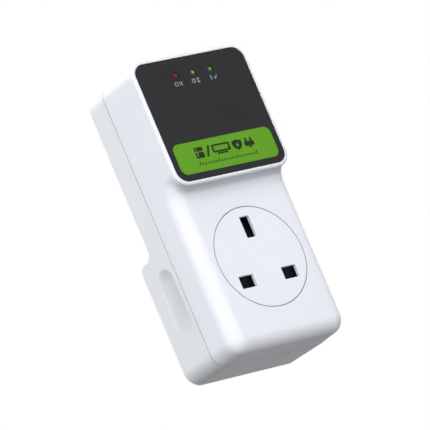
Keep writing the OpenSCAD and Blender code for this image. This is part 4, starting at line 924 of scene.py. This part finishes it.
# painted shade: a grey mixed into the colour in the parting gap and in the gap round the socket
# face
PARTING_PAINTED_SHADE, CIRCLE_PAINTED_SHADE = (parting_gap_painted_shade, "8E929A"), (circle_gap_painted_shade, "A4A8AF")
FINISH = {
    # painted shade darkens the parting gap, the gap round the socket face and the hollow below the
    # head
    "case_white": moulded("satin_white_abs_front", "ECEFF6", "EFF1F8", **SATIN,
                          painted_shade_marks=(PARTING_PAINTED_SHADE, CIRCLE_PAINTED_SHADE, (hollow_painted_shade, "CFD3D9"))),
    # painted shade darkens the parting gap and the finger scoops
    "case_white_rear": moulded("satin_white_abs_rear", "EAEEF2", "EDF0F4", **SATIN,
                               painted_shade_marks=(PARTING_PAINTED_SHADE, (scoop_painted_shade, "DDE1E5"))),
    # painted shade darkens the gap round the socket face
    "face_white": moulded("satin_white_abs_socket", "ECF0F8", "EFF2FA", **SATIN,
                          painted_shade_marks=(CIRCLE_PAINTED_SHADE,)),
    # Nylon comes out dull, and so dark that it only shows as a shape behind the apertures.
    "shutter_black": moulded("moulded_black_nylon", "060708", "0C0D0E", (0.45, 0.6), shine=0.12),
    "carrier_grey": moulded("moulded_dark_grey_nylon", "232425", "2B2C2D", (0.5, 0.6), shine=0.2),
    "sleeve_black": moulded("pin_sleeve_black_nylon", "111112", "191A1B", (0.4, 0.5)),
    # Phenolic is filled with powder, so its black is greyish and flat.
    "clamp_black": moulded("black_phenolic_clamp", "1A1A1B", "262627", (0.45, 0.6)),
    "relay_black": moulded("relay_base_phenolic", "161617", "222223", (0.5, 0.6)),
    # PBT takes a polished mould, so the relay's cover is the glossiest of these.
    "relay_blue": moulded("relay_cover_blue_pbt", "22408A", "294A98", (0.28, 0.36)),
}
print("moulded finishes", len(FINISH))

# %% [markdown]
# ### The printed film and its inks
# Screen ink behind a clear polyester film: a deep even colour under a slight gloss, with the
# faint orange-peel of the film. The signs are a pale grey ink on the charcoal and a dark green
# one on the green.

# %% Film and inks
def ink(name, low, high, rough=(0.34, 0.42)):
    """Screen ink seen through film: an even colour with a slow orange-peel in gloss and relief."""
    made, tree, surface, where = start(name, IOR=1.48, Specular_IOR_Level=0.15)
    mottle(tree, surface, where, low, high, 12)
    peel = add(tree, "TexNoise", {"Scale": per(1.2), "Detail": 1.0}, {"Vector": where})
    gloss(tree, surface, peel.outputs["Fac"], *rough)
    relief(tree, surface, peel.outputs["Fac"], 0.004, 0.4)
    return made


FINISH["panel_charcoal"] = ink("charcoal_ink_under_film", "252527", "28282A")
FINISH["band_green"] = ink("green_ink_under_film", "5F9B22", "639F26")
pale_ink = ink("pale_grey_ink", "949596", "9C9D9D")
dark_ink = ink("dark_green_ink", "15230E", "1B2B12")
print("inks", [made.name for made in bpy.data.materials if made.name.endswith(("ink", "film"))])

# %% [markdown]
# ### Tinted lamp resin
# An indicator lamp is a bead of tinted epoxy over a tiny die and its cup. Its colour is painted
# lighter in the middle, a painted reflection of the cup, and darker at the rim, painted shade.
# The distance from the lamp's own axis drives that, in object coordinates, so it holds in any view.

# %% Lamps
def resin(name, x, painted_lit_heart, body, rim):
    """Clear tinted epoxy: colour by distance from the lamp's axis, from a painted lighter heart to
    a rim darkened by painted shade.
    """
    made, tree, surface, where = start(name, Roughness=0.3, IOR=1.54, Specular_IOR_Level=0.2)
    far = distance(tree, where, (x, 0, LAMP_Z), (1, 0, 1))
    share = add(tree, "MapRange", {"From Max": FILM_HOLE * MM}, {"Value": far})
    ramp = add(tree, "ValToRGB", links={"Fac": share.outputs["Result"]})
    stops = ramp.color_ramp.elements
    # painted: a lighter heart for the cup's reflection, a darker rim for shade
    stops[0].position, stops[0].color = 0.15, linear(painted_lit_heart)
    stops[1].position, stops[1].color = 0.9, linear(rim)
    stops.new(0.55).color = linear(body)
    tree.links.new(ramp.outputs["Color"], surface.inputs["Base Color"])
    return made


FINISH["lamp_red"] = resin("red_lamp_epoxy", LAMP_XS[0], "8C2A20", "4E0F0C", "1C0606")
FINISH["lamp_amber"] = resin("amber_lamp_epoxy", LAMP_XS[1], "A09A4C", "52400F", "1C1608")
FINISH["lamp_green"] = resin("green_lamp_epoxy", LAMP_XS[2], "62A03E", "224C12", "0A1806")
print("lamp finishes", [slot for slot in FINISH if slot.startswith("lamp")])

# %% [markdown]
# ### Metals
# Pins are solid brass, drawn through a die and polished, so fine scratches run along them.
# Contacts and straps are rolled strip: softer, with a little tarnish. Screws and the relay's iron
# are zinc plated, whose grey has a faint crystal mottle. The spring's wire is drawn and bright.

# %% Metals
def metal(name, low, high, rough, streak_mm, stretch):
    """Drawn or rolled metal: shade drifts, and fine streaks along the grain vary the gloss."""
    made, tree, surface, where = start(name, Metallic=1.0)
    mottle(tree, surface, where, low, high, 4)
    along = add(tree, "Mapping", {"Scale": stretch}, {"Vector": where}).outputs["Vector"]
    streak = add(tree, "TexNoise", {"Scale": per(streak_mm), "Detail": 4.0}, {"Vector": along})
    gloss(tree, surface, streak.outputs["Fac"], *rough)
    relief(tree, surface, streak.outputs["Fac"], 0.003, 0.4)
    return made


METALS = (  # slot, name, shades, roughness, streak in mm, its scale on each axis (less is longer)
    ("pin_brass", "polished_drawn_brass", "D9BF82", "E3CB90", (0.18, 0.34), 0.3, (1, 0.06, 1)),
    ("contact_brass", "rolled_brass_strip", "C9A35A", "D3AE66", (0.28, 0.45), 0.4, (1, 0.15, 1)),
    ("strap_brass", "stamped_brass_strap", "C6A056", "D2AC62", (0.3, 0.46), 0.4, (1, 1, 0.15)),
    ("screw_steel", "zinc_plated_steel", "B9BCC0", "CBCDD0", (0.25, 0.42), 0.5, (1, 1, 1)),
    ("relay_iron", "plated_soft_iron", "A8A9AC", "B8B9BB", (0.3, 0.45), 0.5, (1, 1, 0.2)),
    ("spring_steel", "drawn_spring_wire", "A9ABAF", "BFC1C5", (0.22, 0.35), 0.2, (1, 1, 1)),
)
for slot, *recipe in METALS:
    FINISH[slot] = metal(*recipe)
print("metal finishes", len(METALS))

# %% [markdown]
# ### Wires, the board and what is on it
# PVC insulation is slick. The board is glass-epoxy under green solder mask, with lighter tracks
# where copper runs beneath. The coil shows its enamelled turns, and each component has the
# surface that it is dipped, potted or sleeved in.

# %% Electrical finishes
def tracks(name):
    """Solder mask over copper: square-edged patches, about half of them copper, lift the green.

    Each Voronoi cell, measured along the board's two directions, has one random number. Where it
    is above a half there is copper, and neighbours that both have it run together as one track.
    """
    made, tree, surface, where = start(name, Roughness=0.3, IOR=1.5)
    flat = add(tree, "Mapping", {"Scale": (1, 0, 1)}, {"Vector": where})
    cells = add(tree, "TexVoronoi", {"Scale": per(4.5), "Randomness": 0.7},
                {"Vector": flat.outputs["Vector"]}, distance="CHEBYCHEV")
    number = add(tree, "SeparateColor", links={"Color": cells.outputs["Color"]})
    copper = add(tree, "Math", {1: 0.5}, {0: number.outputs["Red"]}, operation="GREATER_THAN")
    tint = add(tree, "MixRGB", {"Color1": linear("17562F"), "Color2": linear("2A7545")},
               {"Fac": copper.outputs[0]})
    tree.links.new(tint.outputs["Color"], surface.inputs["Base Color"])
    relief(tree, surface, copper.outputs[0], 0.03)
    return made


def winding(name):
    """Enamelled copper: a band of light and dark for each turn along the coil's axis, painted
    shade: lighter on each turn's crest and darker in its groove.

    Real turns are hair-thin and wouldn't show, so they are drawn 0.94 mm apart.
    """
    made, tree, surface, where = start(name, Roughness=0.3, IOR=1.6)
    turns = add(tree, "TexWave", {"Scale": per(3.0), "Distortion": 0.3}, {"Vector": where},
                bands_direction="Y")
    ramp = add(tree, "ValToRGB", links={"Fac": turns.outputs["Fac"]})
    # painted shade: dark in each turn's groove, light on its crest
    ramp.color_ramp.elements[0].color = linear("6E2F18")
    ramp.color_ramp.elements[1].color = linear("B5603A")
    tree.links.new(ramp.outputs["Color"], surface.inputs["Base Color"])
    relief(tree, surface, turns.outputs["Fac"], 0.15)
    return made


def banded(name, base, stripe, wave_mm, axis):
    """A coated body with printed bands across it, one every 2 pi / 20 of the wave's size."""
    made, tree, surface, where = start(name, Roughness=0.35, IOR=1.5)
    waves = add(tree, "TexWave", {"Scale": per(wave_mm)}, {"Vector": where}, bands_direction=axis)
    ramp = add(tree, "ValToRGB", links={"Fac": waves.outputs["Fac"]})
    ramp.color_ramp.interpolation = "CONSTANT"
    ramp.color_ramp.elements[0].color = linear(base)
    ramp.color_ramp.elements[1].position, ramp.color_ramp.elements[1].color = 0.85, linear(stripe)
    tree.links.new(ramp.outputs["Color"], surface.inputs["Base Color"])
    return made


FINISH["board_green"] = tracks("green_solder_mask_board")
FINISH["coil_copper"] = winding("enamelled_copper_winding")
FINISH["resistor_tan"] = banded("lacquered_resistor", "C9A777", "7A3B22", 9.0, "X")
FINISH["diode_black"] = banded("moulded_diode", "17171A", "B9BBBE", 24.0, "X")
COATED = (  # slot, name, two shades, roughness, grain and its depth in mm; then what the eye gets
    ("wire_brown", "brown_pvc_insulation", "52301D", "5C3722", (0.25, 0.35), 0.6),  # slick
    ("wire_red", "red_pvc_insulation", "A5201F", "B22926", (0.25, 0.35), 0.6),
    ("wire_blue", "blue_pvc_insulation", "23519E", "2A5CAE", (0.25, 0.35), 0.6),
    ("varistor_blue", "dipped_epoxy_varistor", "22448C", "2C529E", (0.35, 0.5), 0.8, 0.02),  # wavy
    ("capacitor_yellow", "potted_film_capacitor", "D9A92E", "E2B43A", (0.3, 0.4)),  # even
    ("capacitor_sleeve", "shrunk_capacitor_sleeve", "1B2350", "222B5E", (0.22, 0.3), 1.5),  # taut
    ("chip_black", "black_chip_moulding", "161618", "202022", (0.5, 0.65), 0.2),  # matt, gritty
)
for slot, *recipe in COATED:
    FINISH[slot] = moulded(*recipe)
print("finishes in all", len(FINISH))

# %% [markdown]
# ## Dress the frame
# New pieces stand for their CAD nodes and ride on the case. Every other node keeps its CAD mesh,
# which is right as it is, and takes its finish through its material slot.

# %% Assign finishes and seat the new pieces
SLOT_OF = {row["node"]: row["material_slot"] for row in frame["record"]["subparts"]}


def seat(piece, node, finish):
    """A new piece rides on the case, takes a finish and stands for its CAD node, if it has one."""
    piece.data.materials.append(finish)
    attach(piece, "case")
    if node:
        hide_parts(node)


for name, thing in frame["nodes"].items():
    finish = FINISH[SLOT_OF[name]]
    thing.data.materials.clear()
    thing.data.materials.append(finish)
seat(front_shell, "front_shell", FINISH["case_white"])
seat(rear_shell, "rear_shell", FINISH["case_white_rear"])
seat(socket_face, "socket_face", FINISH["face_white"])
seat(overlay, "overlay_panel", FINISH["panel_charcoal"])
seat(green_field, "rating_band", FINISH["band_green"])
for bead, slot in zip(lamps, ("lamp_red", "lamp_amber", "lamp_green")):
    seat(bead, slot.replace("lamp_", "") + "_lamp", FINISH[slot])
seat(spring, "shutter_spring", FINISH["spring_steel"])
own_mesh(spring)
seat(lamp_signs, None, pale_ink)
seat(band_signs, None, dark_ink)
print("nodes dressed", len(frame["nodes"]))

# %% [markdown]
# ## Floor, light and background
# A product picture: the main soft box stands left of the camera and above it and draws the
# bright band down the left roll. Weaker ones from the front, low front, top, left and right
# fill the other sides, one stands behind for the back, and the room is even and pale. The
# adaptor hangs clear of the floor, because the camera looks up from below it, so the floor lies
# over two metres down, out of the way of views from below, and only throws light back on the
# underside. The world is pale light on the object and plain white to the camera and in gloss.

# %% Soft boxes
AIM_AT = (0, -0.022, 0.035)


def soft_box(name, aim, away, size, power, spread):
    """A square area lamp that far off in a direction, facing the object; spread narrows its light.

    The lamp's axes are side = up x back, back x side and back, where back points away from it.
    """
    lamp = bpy.data.lights.new(name, "AREA")
    lamp.size, lamp.energy, lamp.spread = size, power, math.radians(spread)
    thing = bpy.data.objects.new(name, lamp)
    bpy.context.scene.collection.objects.link(thing)
    back = np.array(aim, float) / np.linalg.norm(aim)
    side = np.cross([0, 0, 1], back)
    side /= np.linalg.norm(side)
    turn = np.eye(4)
    turn[:3, 0], turn[:3, 1], turn[:3, 2] = side, np.cross(back, side), back
    turn[:3, 3] = back * away + AIM_AT
    thing.matrix_world = Matrix(turn.tolist())


LIGHTS = (  # name, direction, distance and size in metres, watts, spread in degrees
    ("key softbox", (-0.58, -0.70, 0.40), 1.6, 1.0, 2.9, 70),
    ("front softbox", (0.0, -1.0, 0.05), 1.9, 0.8, 0.6, 60),
    ("low softbox", (-0.2, -0.9, -0.4), 1.9, 0.6, 1.05, 60),
    ("top softbox", (-0.1, -0.45, 0.9), 1.6, 1.0, 1.0, 70),
    ("left softbox", (-0.95, 0.1, 0.3), 1.6, 1.0, 1.65, 70),
    ("right softbox", (0.9, 0.05, 0.55), 1.8, 1.0, 3, 80),
    ("back softbox", (-0.1, 0.85, 0.55), 2.0, 1.2, 5, 80),
)
for light in LIGHTS:
    soft_box(*light)

# %% [markdown]
# The floor and the world show themselves to the camera brighter than they light the object: Light
# Path says which ray asks. So the background is white, while the object's own light stays plain.

# %% Floor and world
AMBIENT, FLOOR_Z, FLOOR_HALF, FLOOR_LIFT = 0.145, -2.3, 7, 0.8


def shown(tree):
    """1 for the rays of the camera, of gloss and of clear things, and 0 for those of light."""
    ray = add(tree, "LightPath")
    seen = add(tree, "Math", links={0: ray.outputs["Is Camera Ray"],
                                    1: ray.outputs["Is Glossy Ray"]}, operation="MAXIMUM")
    return add(tree, "Math", links={0: seen.outputs[0], 1: ray.outputs["Is Transmission Ray"]},
               operation="MAXIMUM").outputs[0]


ground = bpy.data.meshes.new("floor")
ground.from_pydata([(x * FLOOR_HALF, y * FLOOR_HALF, FLOOR_Z)
                    for x, y in ((-1, -1), (1, -1), (1, 1), (-1, 1))], [], [(0, 1, 2, 3)])
floor = bpy.data.objects.new("floor", ground)
bpy.context.scene.collection.objects.link(floor)
plain, tree, surface, where = start("pale_matt_floor", Roughness=0.9, Specular_IOR_Level=0.1)
mottle(tree, surface, where, "E8E8E8", "EEEEEE", 400)
lift = add(tree, "MapRange", {"To Min": 0.0, "To Max": FLOOR_LIFT}, {"Value": shown(tree)})
surface.inputs["Emission Color"].default_value = (1, 1, 1, 1)
tree.links.new(lift.outputs["Result"], surface.inputs["Emission Strength"])
ground.materials.append(plain)

world = bpy.data.worlds.new("pale room")
bpy.context.scene.world = world
world.use_nodes = True
room = world.node_tree
room.nodes.clear()
level = add(room, "MapRange", {"To Min": AMBIENT, "To Max": 1.0}, {"Value": shown(room)})
shine = add(room, "Background", {"Color": (1, 1, 1, 1)}, {"Strength": level.outputs["Result"]})
add(room, "OutputWorld", links={"Surface": shine.outputs["Background"]})
bpy.context.scene.view_settings.view_transform = "Standard"
print("ambient", AMBIENT, "floor at", FLOOR_Z, "m")
